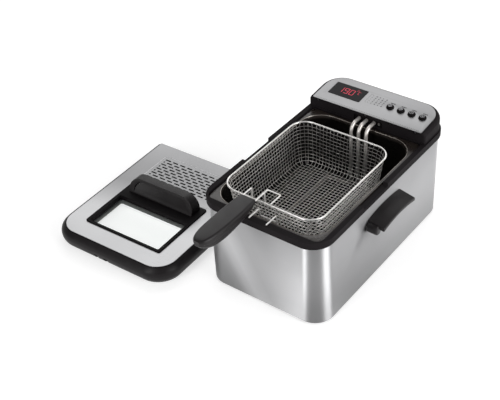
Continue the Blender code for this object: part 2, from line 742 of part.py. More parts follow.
def make_lid_handle(bores):
    low, high = (0.0383, 0.0705)
    outline = rounded((-LID_HANDLE_X, LID_HANDLE_X, low, high), 0.002, 0.026)
    handle = slab("lid_handle", [outline], *LID_HANDLE_Y, "black_plastic", LID, "XZ")
    bevel(handle, 0.0035, 2)
    hollow = rounded((-LID_HANDLE_X + 0.012, LID_HANDLE_X - 0.012, low - 0.010, high - 0.0075),
                     0.002, 0.018)
    front, rear = LID_HANDLE_Y
    for low_y, high_y in ((front - 0.002, front + 0.009), (rear - 0.009, rear + 0.002)):
        boolean(handle, slab("finger_hollow", [hollow], low_y, high_y, None, LID, "XZ"))
    for bore in bores:
        boolean(handle, bore)
    middle = (front + rear) / 2
    profile = [(0, 0.0210), (0.0017, 0.0210), (0.0017, 0), (0.0038, 0), (0.0038, -0.0025),
               (0, -0.0025)]
    for name, x in (("left", -LID_SCREW_X), ("right", LID_SCREW_X)):
        turned(f"lid_handle_screw_{name}", profile, "sheet_metal", LID,
               (x, middle, LID_TOP - LID_SHEET - GAP), steps=12)


def make_filter():
    mat = (-0.0855, 0.0855, 0.0460, 0.1240)
    slab("filter_mat", [rounded(mat, 0.005)], 0.0265, 0.0340, "filter_felt", LID)
    bars = [rectangle(-0.075, 0.075, y, y + 0.008) for y in (0.052, 0.066, 0.080, 0.094, 0.108)]
    slab("filter_cover", [rounded(grow(mat, 0.0005), 0.005)] + bars, 0.0240, 0.0262,
         "black_plastic", LID)


def make_lid():
    middle = sum(LID_HANDLE_Y) / 2
    bores = [pin("lid_screw_bore", 0.0021, 0.0250, None, LID, (x, middle, 0.0325))
             for x in (-LID_SCREW_X, LID_SCREW_X)]
    make_lid_rim()
    make_lid_plate(bores)
    make_window(bores)
    make_lid_handle(bores)
    make_filter()


# ---------------------------------------------------------------- assembly

def centre_on_counter():
    """Move the whole fryer so that the origin is below the middle of its box."""
    bpy.context.view_layer.update()
    graph = bpy.context.evaluated_depsgraph_get()
    corners = []
    for obj in PARTS.objects:
        shape = obj.evaluated_get(graph)
        corners += [shape.matrix_world @ vertex.co for vertex in shape.data.vertices]
    for axis in (0, 1):
        values = [corner[axis] for corner in corners]
        ROOT.location[axis] = -(min(values) + max(values)) / 2
    ROOT.location.z = FOOT_HEIGHT


clear_scene()
PARTS = collection("deep_fryer")
CUTTERS = collection("cutters")
GUIDES = collection("guides")
ROOT = empty("root")
HEAD = empty("head", ROOT)
PANEL = empty("panel_frame", HEAD, PANEL_FRONT, (PANEL_TILT, 0, 0))
BASKET = empty("basket", ROOT)
HANDLE = empty("handle", BASKET)
LID = empty("lid", ROOT, (*LID_AT, -FOOT_HEIGHT), (0, 0, LID_YAW))

make_carry_handles(make_body())
make_rim()
make_pot()
make_head_shells()
make_panel()
make_display()
make_buttons()
make_head_inside()
make_element()
make_basket()
make_handle()
make_lid()
centre_on_counter()
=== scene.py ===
import json
from math import asin, atan2, cos, hypot, pi, radians, sin, sqrt, tan

import bmesh
import bpy
import numpy as np
from mathutils import Matrix, Vector


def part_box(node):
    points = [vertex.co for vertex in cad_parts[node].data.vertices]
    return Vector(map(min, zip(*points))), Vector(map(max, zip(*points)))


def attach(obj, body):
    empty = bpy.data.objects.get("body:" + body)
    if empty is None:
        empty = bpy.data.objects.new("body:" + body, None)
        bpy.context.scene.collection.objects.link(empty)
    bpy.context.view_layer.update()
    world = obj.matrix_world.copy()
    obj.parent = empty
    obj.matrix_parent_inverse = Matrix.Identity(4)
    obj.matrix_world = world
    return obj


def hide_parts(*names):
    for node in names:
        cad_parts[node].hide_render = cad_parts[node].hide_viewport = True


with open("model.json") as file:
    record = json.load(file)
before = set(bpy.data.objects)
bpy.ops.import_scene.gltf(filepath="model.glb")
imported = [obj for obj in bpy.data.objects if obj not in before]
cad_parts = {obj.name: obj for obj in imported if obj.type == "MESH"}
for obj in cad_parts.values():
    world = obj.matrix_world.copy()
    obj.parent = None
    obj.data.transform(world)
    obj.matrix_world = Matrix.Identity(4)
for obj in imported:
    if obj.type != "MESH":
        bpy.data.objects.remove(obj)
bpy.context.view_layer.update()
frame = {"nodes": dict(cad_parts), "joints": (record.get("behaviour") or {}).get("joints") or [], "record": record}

# Looks of a counter-top deep fryer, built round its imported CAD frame. Lengths are in metres.
# Pieces are drawn in the frame of the steel body (origin in the middle of its base), of the
# sloping panel (origin in the middle of its front edge) or of the lid, and then put in place.

CORNER = 14             # segments in a quarter of a large round corner

# Body
HOUSING = (-0.126, 0.126, -0.2125, 0.2125)
HOUSING_CORNER = 0.038
HOUSING_TOP = 0.1727
SHEET = 0.001
RIM = (-0.1295, 0.1295, -0.2185, 0.2185)
RIM_CORNER = 0.042
RIM_LOW = 0.173
RIM_TOP = 0.187
WELL = (-0.1195, 0.1195, -0.2055, 0.133)
WELL_CORNERS = (0.014, 0.006)
LEDGE = (-0.1145, 0.1145, -0.2, 0.1275)
POT_LIP = (-0.1173, 0.1173, -0.2033, 0.1308)
POT_MOUTH = (-0.1127, 0.1127, -0.1982, 0.1247)
MOUTH_CORNERS = (0.043, 0.046)
POT_BASE = (-0.103, 0.103, -0.188, 0.113)
TONGUE = (-0.071, 0.071, 0.15, 0.196)
CARRY_Y = (-0.0645, 0.042)
CARRY_ROOT = 0.1263

# Control head
HEAD = (-0.127, 0.127, 0.1306, 0.2165)
HEAD_CORNERS = (0.004, 0.042)
HEAD_SEAM = 0.1903
PANEL_Y, PANEL_Z = 0.129, 0.2112
PANEL_DEPTH = 0.0815
DISPLAY = (-0.1003, -0.03, 0.025, 0.0632)
BUTTONS = ("power_button", "program_button", "minus_button", "plus_button")
BUTTON_X, BUTTON_PITCH, BUTTON_Y = 0.0299, 0.0229, 0.0405
BUTTON_RADIUS = 0.0072
RESET_AT = (0.06, 0.199)
GLAND_AT = (-0.06, 0.199)
TUBE_X = (-0.0154, 0.0006, 0.017)
TUBE_Z, TUBE_RADIUS = 0.195, 0.0035

# Basket and its handle
MESH_WIRE, MESH_PITCH = 0.00046, 0.0072
MESH_LIFT = 0.00048     # how far a wire stands to one side of the middle as it crosses another
RIM_WIRE = (-0.1, 0.1, -0.1855, 0.06)
BASKET_BASE = (-0.0895, 0.0895, -0.175, 0.0495)
HOOK_X = (-0.0165, 0.0195)
WIRE = 0.0014
GRIP_X = -0.025
FORK_HALF, FORK_Z = 0.0134, 0.2178

# Lid
LID_PLATE = (-0.1307, 0.1307, -0.1606, 0.1605)
LID_CORNER = 0.04
LID_TOP = 0.0358
LID_LEDGE = LID_TOP - SHEET - 0.0003      # what the plate lies on
WINDOW = (-0.0855, 0.0855, -0.117, -0.0265)
BEZEL = (-0.0925, 0.0925, -0.1225, 0.0265)
LID_HANDLE_X = 0.079
LID_HANDLE_Y = (-0.007, 0.021)
HANDLE_LEAN = 0.37      # how much thinner the handle is at its top


# ---------------------------------------------------------------- frames

def middle(node):
    low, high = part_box(node)
    return (low + high) / 2


def body_frame():
    low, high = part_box("outer_housing")
    return Matrix.Translation(((low.x + high.x) / 2, (low.y + high.y) / 2, low.z))


def lid_frame():
    """The lid is turned a little; its handle and window are both centred on its middle line."""
    handle, glass = middle("lid_handle"), middle("window_glass")
    along = (handle - glass).xy.normalized()
    origin = handle.xy - along * (sum(LID_HANDLE_Y) / 2)
    turn = Matrix.Rotation(atan2(-along.x, along.y), 4, "Z")
    return Matrix.Translation((*origin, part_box("lid_rim")[0].z)) @ turn


def panel_frame():
    press = next(j for j in frame["joints"] if j["name"] == "power_button_press")
    tilt = atan2(press["axis"][1], -press["axis"][2])
    return BODY @ Matrix.Translation((0, PANEL_Y, PANEL_Z)) @ Matrix.Rotation(tilt, 4, "X"), tilt


BODY = body_frame()
LID = lid_frame()
PANEL, PANEL_TILT = panel_frame()


# ---------------------------------------------------------------- outlines and solids

def grow(box, by):
    return (box[0] - by, box[1] + by, box[2] - by, box[3] + by)


def rounded(box, front, rear=None, steps=CORNER):
    """Anticlockwise outline of a rectangle with round corners, front and rear."""
    x0, x1, y0, y1 = box
    rear = front if rear is None else rear
    corners = ((x0 + front, y0 + front, front, 180), (x1 - front, y0 + front, front, 270),
               (x1 - rear, y1 - rear, rear, 0), (x0 + rear, y1 - rear, rear, 90))
    points = []
    for x, y, radius, start in corners:
        for step in range(steps + 1):
            angle = radians(start + 90 * step / steps)
            points.append((x + radius * cos(angle), y + radius * sin(angle)))
    return points


def circle(x, y, radius, sides=32):
    angles = [2 * pi * step / sides for step in range(sides)]
    return [(x + radius * cos(a), y + radius * sin(a)) for a in angles]


def row(box, z, front, rear=None):
    """One ring of a loft as numbers, so that rings between two can be worked out."""
    return (*box, front, front if rear is None else rear, z)


def soften(rows, reach, steps=3, closed=False):
    """Rows with each corner between them rounded over the given reach."""
    rows = [np.array(r, float) for r in rows]
    made = []
    for i, here in enumerate(rows):
        if not closed and i in (0, len(rows) - 1):
            made.append(here)
            continue
        legs = []
        for other in (rows[i - 1], rows[(i + 1) % len(rows)]):
            span = other - here
            size = np.abs(span).max()
            legs.append(here + span / size * min(reach, 0.48 * size))
        for step in range(steps + 1):
            t = step / steps
            made.append(legs[0] * (1 - t) ** 2 + here * 2 * t * (1 - t) + legs[1] * t ** 2)
    return made


def ring_of(values, steps=CORNER):
    x0, x1, y0, y1, front, rear, z = values
    return [(x, y, z) for x, y in rounded((x0, x1, y0, y1), max(front, 0.0002), max(rear, 0.0002), steps)]


def to_mesh(work):
    bmesh.ops.recalc_face_normals(work, faces=work.faces)
    mesh = bpy.data.meshes.new("shape")
    work.to_mesh(mesh)
    work.free()
    return mesh


def loft(rings, closed=False, cap_first=True, cap_last=True):
    """Mesh through rings with equal counts, capped at its ends or closed on itself."""
    work = bmesh.new()
    rows = [[work.verts.new(point) for point in ring] for ring in rings]
    pairs = list(zip(rows, rows[1:])) + ([(rows[-1], rows[0])] if closed else [])
    for upper, lower in pairs:
        count = len(upper)
        for i in range(count):
            j = (i + 1) % count
            work.faces.new((upper[i], lower[i], lower[j], upper[j]))
    if not closed:
        if cap_first:
            work.faces.new(rows[0])
        if cap_last:
            work.faces.new(list(reversed(rows[-1])))
    return to_mesh(work)


def shell(rows, reach, steps, corner=20, closed=False, **caps):
    """Loft through rows, with the corners between them rounded over the given reach."""
    return loft([ring_of(r, corner) for r in soften(rows, reach, steps, closed)], closed, **caps)


def linked(name, data):
    obj = bpy.data.objects.new(name, data)
    bpy.context.scene.collection.objects.link(obj)
    return obj


def mesh_of(obj):
    """The object's mesh with its modifiers applied. The object itself is removed."""
    graph = bpy.context.evaluated_depsgraph_get()
    mesh = bpy.data.meshes.new_from_object(obj.evaluated_get(graph))
    bpy.data.objects.remove(obj)
    return mesh


def evaluated(mesh, setups):
    """The mesh with modifiers applied. Each setup is (type, {setting: value})."""
    obj = linked("shaping", mesh)
    for kind, settings in setups:
        modifier = obj.modifiers.new(kind.lower(), kind)
        for key, value in settings.items():
            setattr(modifier, key, value)
    return mesh_of(obj)


def combined(mesh, others, operation="DIFFERENCE"):
    tools = [linked("tool", other) for other in others]
    made = evaluated(mesh, [("BOOLEAN", {"operation": operation, "solver": "EXACT", "object": tool})
                            for tool in tools])
    for tool in tools:
        bpy.data.objects.remove(tool)
    return made


def thickened(mesh, thickness):
    """The mesh as a wall of the given thickness, inwards from its faces."""
    return evaluated(mesh, [("SOLIDIFY", {"thickness": thickness, "offset": -1, "use_even_offset": True})])


def bevelled(mesh, width, segments=3):
    return evaluated(mesh, [("BEVEL", {"width": width, "segments": segments, "limit_method": "ANGLE",
                                       "angle_limit": radians(40)})])


def slab(outlines, low, high, edge=0.0, plane="XY"):
    """Flat piece with holes, from low to high across its plane, with rounded edges."""
    curve = bpy.data.curves.new("slab", "CURVE")
    curve.dimensions = "2D"
    curve.fill_mode = "BOTH"
    curve.extrude = (high - low) / 2 - edge
    curve.bevel_depth = edge
    curve.offset = -edge
    curve.bevel_resolution = 2
    for outline in outlines:
        spline = curve.splines.new("POLY")
        spline.points.add(len(outline) - 1)
        for point, (u, v) in zip(spline.points, outline):
            point.co = (u, v, 0, 1)
        spline.use_cyclic_u = True
    work = bmesh.new()
    work.from_mesh(mesh_of(linked("slab", curve)))
    bmesh.ops.remove_doubles(work, verts=work.verts, dist=0.000005)
    mesh = to_mesh(work)
    upright = Matrix.Rotation(pi / 2, 4, "X")
    turns = {"XY": Matrix.Identity(4), "XZ": upright, "YZ": Matrix.Rotation(pi / 2, 4, "Z") @ upright}
    shift = [0 if axis in plane else (low + high) / 2 for axis in "XYZ"]
    mesh.transform(Matrix.Translation(shift) @ turns[plane])
    return mesh


def block(x0, x1, y0, y1, z0, z1):
    work = bmesh.new()
    bmesh.ops.create_cube(work, size=1)
    mesh = to_mesh(work)
    mesh.transform(Matrix.Translation(((x0 + x1) / 2, (y0 + y1) / 2, (z0 + z1) / 2))
                   @ Matrix.Diagonal((x1 - x0, y1 - y0, z1 - z0, 1)))
    return mesh


def turned(profile, at=(0, 0, 0), turn=None, steps=40):
    """Solid turned about Z from (radius, height) points; the ends are on the axis."""
    work = bmesh.new()
    rings = []
    for radius, height in profile:
        count = 1 if radius < 1e-6 else steps
        rings.append([work.verts.new((radius * cos(2 * pi * i / steps),
                                      radius * sin(2 * pi * i / steps), height))
                      for i in range(count)])
    for upper, lower in zip(rings, rings[1:]):
        for i in range(steps):
            j = (i + 1) % steps
            corners = [upper[i % len(upper)], lower[i % len(lower)], lower[j % len(lower)],
                       upper[j % len(upper)]]
            work.faces.new(list(dict.fromkeys(corners)))
    mesh = to_mesh(work)
    mesh.transform(Matrix.Translation(at) @ (turn or Matrix.Identity(4)))
    return mesh


def bent_path(corners, radius, steps=8):
    """Points of a wire through corners, each bent to the same radius."""
    corners = [Vector(corner) for corner in corners]
    points = [corners[0]]
    for before, corner, after in zip(corners, corners[1:], corners[2:]):
        to_before = (before - corner).normalized()
        to_after = (after - corner).normalized()
        half = to_before.angle(to_after) / 2
        setback = radius / tan(half)
        centre = corner + (to_before + to_after).normalized() * radius / sin(half)
        start = (corner + to_before * setback - centre).normalized()
        end = (corner + to_after * setback - centre).normalized()
        points += [centre + start.slerp(end, step / steps) * radius for step in range(steps + 1)]
    points.append(corners[-1])
    return points


def tangents(points, closed):
    if closed:
        along = np.roll(points, -1, 0) - np.roll(points, 1, 0)
    else:
        along = np.gradient(points, axis=0)
    return along / np.linalg.norm(along, axis=1)[:, None]


def carried_normals(along):
    """A normal for each point of a path, carried along it without twist."""
    first = np.cross(along[0], (0, 0, 1))
    if np.linalg.norm(first) < 0.1:
        first = np.cross(along[0], (1, 0, 0))
    normals = [first / np.linalg.norm(first)]
    for here in along[1:]:
        normal = normals[-1] - here * normals[-1].dot(here)
        normals.append(normal / np.linalg.norm(normal))
    return np.array(normals)


def add_wire(vertices, faces, points, radius, sides=10, closed=False, normals=None):
    """Adds a round wire to lists of vertices and faces, with slightly rounded ends."""
    points = np.array(points, float)
    along = tangents(points, closed)
    if normals is None:
        normals = carried_normals(along)
    sizes = np.full(len(points), radius)
    if not closed:
        tip = radius * 0.45
        points = np.vstack([points[0] - along[0] * tip, points, points[-1] + along[-1] * tip])
        normals, along = (np.vstack([rows[:1], rows, rows[-1:]]) for rows in (normals, along))
        sizes = np.concatenate([[radius * 0.6], sizes, [radius * 0.6]])
    side = np.cross(along, normals)
    start, count = len(vertices), len(points)
    for i in range(count):
        for s in range(sides):
            angle = 2 * pi * s / sides
            vertices.append(points[i] + sizes[i] * (normals[i] * cos(angle) + side[i] * sin(angle)))
    for i in range(count if closed else count - 1):
        a, b = start + i * sides, start + (i + 1) % count * sides
        for s in range(sides):
            t = (s + 1) % sides
            faces.append((a + s, a + t, b + t, b + s))
    if not closed:
        faces.append(tuple(start + s for s in reversed(range(sides))))
        faces.append(tuple(start + (count - 1) * sides + s for s in range(sides)))


def wire(paths, radius, sides=12, closed=False):
    """Mesh of one or more separate wires."""
    vertices, faces = [], []
    for path in paths:
        add_wire(vertices, faces, path, radius, sides, closed)
    mesh = bpy.data.meshes.new("wire")
    mesh.from_pydata([tuple(v) for v in vertices], [], faces)
    return mesh


# ---------------------------------------------------------------- materials

def fill(node, values):
    """Sets sockets of a node to values, or links them to other nodes' outputs."""
    for name, value in values.items():
        if isinstance(value, bpy.types.NodeSocket):
            node.id_data.links.new(value, node.inputs[name])
        else:
            node.inputs[name].default_value = value


def add(tree, kind, output, values, **settings):
    """Adds a node with its settings and sockets, and gives one of its outputs."""
    node = tree.nodes.new("ShaderNode" + kind)
    for key, value in settings.items():
        setattr(node, key, value)
    fill(node, values)
    return node.outputs[output]


def material(name, colour, metallic=0.0, roughness=0.5, **sockets):
    made = bpy.data.materials.new(name)
    made.use_nodes = True
    made.diffuse_color = (*colour, 1.0)
    shader = made.node_tree.nodes["Principled BSDF"]
    fill(shader, {"Base Color": (*colour, 1.0), "Metallic": metallic, "Roughness": roughness})
    fill(shader, {socket.replace("_", " "): value for socket, value in sockets.items()})
    return made, made.node_tree, shader


def noise(tree, scale, stretch=(1, 1, 1), detail=3.0, roughness=0.55):
    """A noise pattern in metres, drawn out along the axes with a small stretch value."""
    place = add(tree, "TexCoord", "Object", {})
    place = add(tree, "Mapping", "Vector", {"Scale": stretch, "Vector": place})
    return add(tree, "TexNoise", "Fac", {"Scale": scale, "Detail": detail, "Roughness": roughness,
                                         "Vector": place})


def ranged(tree, value, low, high, from_low=0.3, from_high=0.7):
    return add(tree, "MapRange", "Result", {"Value": value, "From Min": from_low, "From Max": from_high,
                                            "To Min": low, "To Max": high})


def ramp(tree, value, stops):
    """Colours at values from 0 to 1. Each stop is (value, colour)."""
    output = add(tree, "ValToRGB", "Color", {"Fac": value})
    elements = output.node.color_ramp.elements
    while len(elements) < len(stops):
        elements.new(0.5)
    for element, (place, colour) in zip(elements, stops):
        element.position = place
        element.color = (*colour, 1.0)
    return output


def shades(tree, value, colour, *stops):
    """A colour made darker or lighter. Each stop is (value, factor)."""
    return ramp(tree, value, [(place, [c * factor for c in colour]) for place, factor in stops])


def distance_along(tree, direction, offset=0.0):
    """How far a point lies along a direction, in metres."""
    place = add(tree, "TexCoord", "Object", {})
    dot = add(tree, "VectorMath", "Value", {0: place, 1: direction}, operation="DOT_PRODUCT")
    return add(tree, "Math", 0, {0: dot, 1: offset}, operation="ADD")


def tinted(tree, shader, factor):
    """Multiplies the base colour by a grey factor."""
    before = shader.inputs["Base Color"].links[0].from_socket
    product = add(tree, "VectorMath", "Vector", {0: before, 1: factor}, operation="MULTIPLY")
    fill(shader, {"Base Color": product})


def painted_light_bands(made, direction, offset, low, high, factors):
    """Painted light and shade across a surface: the colour multiplied by factors at even steps from low to high
    along a direction.
    """
    tree = made.node_tree
    place = ranged(tree, distance_along(tree, direction, offset), 0.0, 1.0, low, high)
    stops = [(i / (len(factors) - 1), factor) for i, factor in enumerate(factors)]
    tinted(tree, tree.nodes["Principled BSDF"], shades(tree, place, (1, 1, 1), *stops))
    return made


def bump(tree, pattern, strength, distance):
    return add(tree, "Bump", "Normal", {"Strength": strength, "Distance": distance, "Height": pattern})


def brushed(name, stretch, shade, rough, contrast=0.03, anisotropic=0.0):
    """Stainless sheet with fine brushing; stretch is small along the brush marks."""
    made, tree, shader = material(name, (shade,) * 3, 1.0)
    if anisotropic:     # brushed round the body, so that highlights are drawn out upwards
        tangent = add(tree, "Tangent", "Tangent", {}, direction_type="RADIAL", axis="Z")
        fill(shader, {"Anisotropic": anisotropic, "Anisotropic Rotation": 0.25, "Tangent": tangent})
    fine = noise(tree, 1.0, stretch, 4.0, 0.6)
    broad = noise(tree, 9.0, detail=2.0)
    marks = shades(tree, fine, (shade, shade, shade * 1.015), (0.25, 1 - contrast), (0.75, 1 + contrast))
    gloss = add(tree, "Math", 0, {0: ranged(tree, fine, *rough), 1: ranged(tree, broad, -0.02, 0.03)},
                operation="ADD")
    fill(shader, {"Base Color": marks, "Roughness": gloss, "Normal": bump(tree, fine, 0.12, 0.00004)})
    return made


def moulded(name, colour, rough, shine=0.5, grain=2600.0, depth=0.00004):
    """Moulded plastic or rubber: a fine spark-eroded grain and slight uneven gloss."""
    made, tree, shader = material(name, colour, Specular_IOR_Level=shine)
    skin = noise(tree, grain, detail=2.0)
    broad = noise(tree, 35.0)
    fill(shader, {"Base Color": shades(tree, broad, colour, (0.3, 0.88), (0.7, 1.12)),
                  "Roughness": ranged(tree, broad, *rough), "Normal": bump(tree, skin, 0.35, depth)})
    return made


def enamelled(name, depth=None):
    """Dark non-stick coating: a slight orange peel, and scuffs that dull it a little."""
    made, tree, shader = material(name, (0.014, 0.012, 0.011), Specular_IOR_Level=0.4)
    peel = noise(tree, 420.0, detail=2.0)
    scuff = noise(tree, 22.0, (1, 1, 3), 5.0, 0.7)
    tone = ramp(tree, scuff, [(0.35, (0.011, 0.0096, 0.0088)), (0.75, (0.022, 0.0185, 0.0165))])
    fill(shader, {"Base Color": tone, "Roughness": ranged(tree, scuff, 0.22, 0.36),
                  "Normal": bump(tree, peel, 0.2, 0.00005)})
    if depth:       # painted shade: darker and duller down inside the pot than on its flange
        level = distance_along(tree, (0, 0, 1), -BODY.translation.z)
        tinted(tree, shader, ramp(tree, ranged(tree, level, 0.0, 1.0, *depth),
                                  [(0.0, (0.25, 0.25, 0.25)), (1.0, (1.6, 1.45, 1.35))]))
        fill(shader, {"Specular IOR Level": ranged(tree, level, 0.05, 0.45, *depth)})
    return made


def drawn(name, colour, rough, metallic=1.0):
    """Drawn wire or tube: bright, with faint tarnish."""
    made, tree, shader = material(name, colour, metallic)
    stain = noise(tree, 130.0)
    fill(shader, {"Base Color": shades(tree, stain, colour, (0.3, 0.8), (0.65, 1.0)),
                  "Roughness": ranged(tree, stain, rough[1], rough[0]),
                  "Normal": bump(tree, noise(tree, 1500.0), 0.15, 0.00003)})
    return made


def sheet_zinc(name):
    """Zinc-coated sheet with its spangle."""
    made, tree, shader = material(name, (0.6, 0.6, 0.59), 1.0)
    cell = add(tree, "TexVoronoi", "Distance", {"Scale": 160.0})
    fill(shader, {"Base Color": ramp(tree, cell, [(0.1, (0.54, 0.545, 0.55)), (0.9, (0.66, 0.66, 0.65))]),
                  "Roughness": ranged(tree, noise(tree, 60.0), 0.34, 0.5),
                  "Normal": bump(tree, noise(tree, 500.0), 0.1, 0.00004)})
    return made


def pane(name):
    """Clear tempered glass that lets light through to what lies below it."""
    made, tree, shader = material(name, (0.9, 0.95, 0.93))
    made.diffuse_color[3] = 0.3
    tree.nodes.remove(shader)
    clear = add(tree, "BsdfTransparent", "BSDF", {"Color": (0.99, 1.0, 0.995, 1.0)})
    smear = ranged(tree, noise(tree, 30.0, detail=4.0), 0.02, 0.06)
    mirror = add(tree, "BsdfGlossy", "BSDF", {"Roughness": smear})
    facing = add(tree, "LayerWeight", "Facing", {})
    glancing = add(tree, "Math", 0, {0: facing, 1: 4.0}, operation="POWER")
    share = ranged(tree, glancing, 0.045, 0.85, 0.0, 1.0)
    mixed = add(tree, "MixShader", "Shader", {"Fac": share, 1: clear, 2: mirror})
    fill(tree.nodes["Material Output"], {"Surface": mixed})
    return made


def glowing(name, colour, strength):
    made, tree, shader = material(name, colour, roughness=0.4, Emission_Strength=strength)
    fill(shader, {"Emission Color": shades(tree, noise(tree, 900.0), colour, (0.3, 0.85), (0.7, 1.0))})
    return made


def felt(name):
    made, tree, shader = material(name, (0.02, 0.02, 0.02), roughness=0.95, Sheen_Weight=0.15)
    fibre = noise(tree, 1200.0, (1, 1, 0.3), 6.0, 0.75)
    tone = ramp(tree, fibre, [(0.3, (0.012, 0.012, 0.012)), (0.7, (0.032, 0.032, 0.031))])
    fill(shader, {"Base Color": tone, "Normal": bump(tree, fibre, 0.8, 0.0005)})
    return made


def lid_steel_painted_reflection():
    """Sheet with painted reflection: lighter towards its front, with a darker band of painted shade across its
    middle.
    """
    made = brushed("steel_lid_painted_reflection", ACROSS, 0.46, (0.28, 0.36))
    forward = LID.to_3x3() @ Vector((-0.25, 0.97, 0))
    return painted_light_bands(made, forward, -forward.dot(LID.translation), -0.14, 0.19,
                 (0.8, 0.83, 0.8, 0.6, 0.44, 0.46, 0.52, 0.56))


def housing_steel():
    """Steel wrapped round the body, with painted shade that darkens it towards the foot and a painted highlight
    streak slanting across its front and back.
    """
    made = brushed("steel_round_painted_light", (16, 16, 2400), 0.62, (0.52, 0.58), 0.02, 0.98)
    foot = BODY.translation
    # painted shade: darker towards the foot
    painted_light_bands(made, (0, 0, 1), -foot.z, 0.0, 0.12, (0.66, 0.74, 0.86, 0.95, 1.0))
    # painted highlight: a bright streak slanting across the front and back
    highlight_slant = Vector((1, 0, 0.52))
    return painted_light_bands(made, highlight_slant, -highlight_slant.dot(foot), -0.062, 0.045, (0.94, 1.04, 1.32, 1.4, 1.2, 1.0, 0.97))


def tube_steel():
    """Steel of the heating tubes, with painted shade that darkens it where it goes down into the pot."""
    made = drawn("element_steel_painted_shade", (0.95, 0.9, 0.86), (0.32, 0.46), 0.7)
    return painted_light_bands(made, (0, 0, 1), -BODY.translation.z, 0.12, 0.175, (0.3, 0.45, 0.95, 1.0))


def weave_with_painted_shade():
    """Wire of the weave, with painted shade: darker up the walls and darkest at the back."""
    made = drawn("mesh_wire_painted_shade", (0.93, 0.9, 0.87), (0.28, 0.42))
    tree = made.node_tree
    foot = BODY.translation
    up = ranged(tree, distance_along(tree, (0, 0, 1), -foot.z), 0.0, 1.0, 0.126, 0.15)
    back = ranged(tree, distance_along(tree, (0, 1, 0), -foot.y), 0.1, 0.62, -0.02, 0.045)
    # painted shade, growing up the walls and towards the back
    painted_shade_mask = add(tree, "Math", 0, {0: up, 1: back}, operation="MULTIPLY")
    tinted(tree, tree.nodes["Principled BSDF"], shades(tree, painted_shade_mask, (1, 1, 1), (0.0, 1.0), (1.0, 0.0)))
    return made


ACROSS = (30, 2600, 2600)       # brush marks that run left to right
LOOKS = {
    "brushed_steel": brushed("steel_across", ACROSS, 0.42, (0.28, 0.36)),
    # the panel's steel: finer brushing, and darker than the other steel as painted shade
    "steel_panel_painted_shade": brushed("steel_panel_painted_shade", (40, 3000, 3000), 0.25, (0.3, 0.38), 0.02),
    "lid_steel_painted_reflection": lid_steel_painted_reflection(),
    "steel_round_painted_light": housing_steel(),
    "mesh_wire_painted_shade": weave_with_painted_shade(),
    "element_steel_painted_shade": tube_steel(),
    "sheet_metal": sheet_zinc("sheet_metal"),
    "black_enamel": enamelled("black_enamel"),
    "pot_enamel_painted_shade": enamelled("pot_enamel_painted_shade", (0.176, 0.1825)),
    "clear_glass": pane("clear_glass"),
    "filter_felt": felt("filter_felt"),
    "red_glow": glowing("red_glow", (0.5, 0.01, 0.04), 0.8),
}
for name, *values in (      # colour, roughness from and to, and share of metal
        ("bright_wire", (0.86, 0.845, 0.82), (0.24, 0.38)),
        ("polished_wire", (0.95, 0.93, 0.91), (0.3, 0.42), 0.6),
        ("worn_edge", (0.5, 0.46, 0.42), (0.3, 0.42))):
    LOOKS[name] = drawn(name, *values)
for name, *values in (      # colour, roughness from and to, shine, and scale and depth of the grain
        ("black_plastic", (0.006, 0.005, 0.0055), (0.5, 0.6), 0.07),
        ("cover_plastic", (0.014, 0.0122, 0.0132), (0.5, 0.6), 0.03),
        ("lid_plastic", (0.0085, 0.007, 0.0077), (0.38, 0.48), 0.17),
        ("grip_plastic", (0.011, 0.0092, 0.0098), (0.36, 0.46), 0.3),
        ("dark_glass", (0.006, 0.006, 0.007), (0.05, 0.09), 0.08, 300.0, 0.00001),
        ("black_rubber", (0.02, 0.02, 0.02), (0.66, 0.8), 0.5, 1800.0, 0.00008),
        ("grey_silicone", (0.3, 0.3, 0.3), (0.52, 0.64), 0.5, 1500.0),
        ("board_green", (0.015, 0.11, 0.045), (0.35, 0.5), 0.5, 700.0),
        ("cream_nylon", (0.7, 0.66, 0.55), (0.42, 0.55)),
        ("red_plastic", (0.45, 0.02, 0.02), (0.32, 0.42)),
        ("print_grey", (0.018, 0.018, 0.02), (0.5, 0.6), 0.1),
        ("print_light", (0.62, 0.62, 0.64), (0.4, 0.5))):
    LOOKS[name] = moulded(name, *values)


def piece(name, mesh, look, body, replaces=None, place=BODY, smooth=35):
    """Puts a mesh in place as a shown piece that rides on a CAD body."""
    mesh.transform(place)
    mesh.materials.clear()
    mesh.materials.append(LOOKS[look])
    mesh.shade_smooth()
    mesh.set_sharp_from_angle(angle=radians(smooth))
    obj = linked(name, mesh)
    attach(obj, body)
    if replaces:
        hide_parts(replaces)
    return obj


def dress_cad_nodes():
    for part in frame["record"]["subparts"]:
        node = frame["nodes"][part["node"]]
        node.data.materials.clear()
        node.data.materials.append(LOOKS[part["material_slot"]])


# ---------------------------------------------------------------- body

def make_housing():
    inner, corner = grow(HOUSING, -SHEET), HOUSING_CORNER - SHEET
    rows = [row(HOUSING, 0, HOUSING_CORNER), row(HOUSING, HOUSING_TOP, HOUSING_CORNER),
            row(inner, HOUSING_TOP, corner), row(inner, 0, corner)]
    piece("housing_wrap", shell(rows, 0.0004, 2, closed=True), "steel_round_painted_light", "fryer_body", "outer_housing")


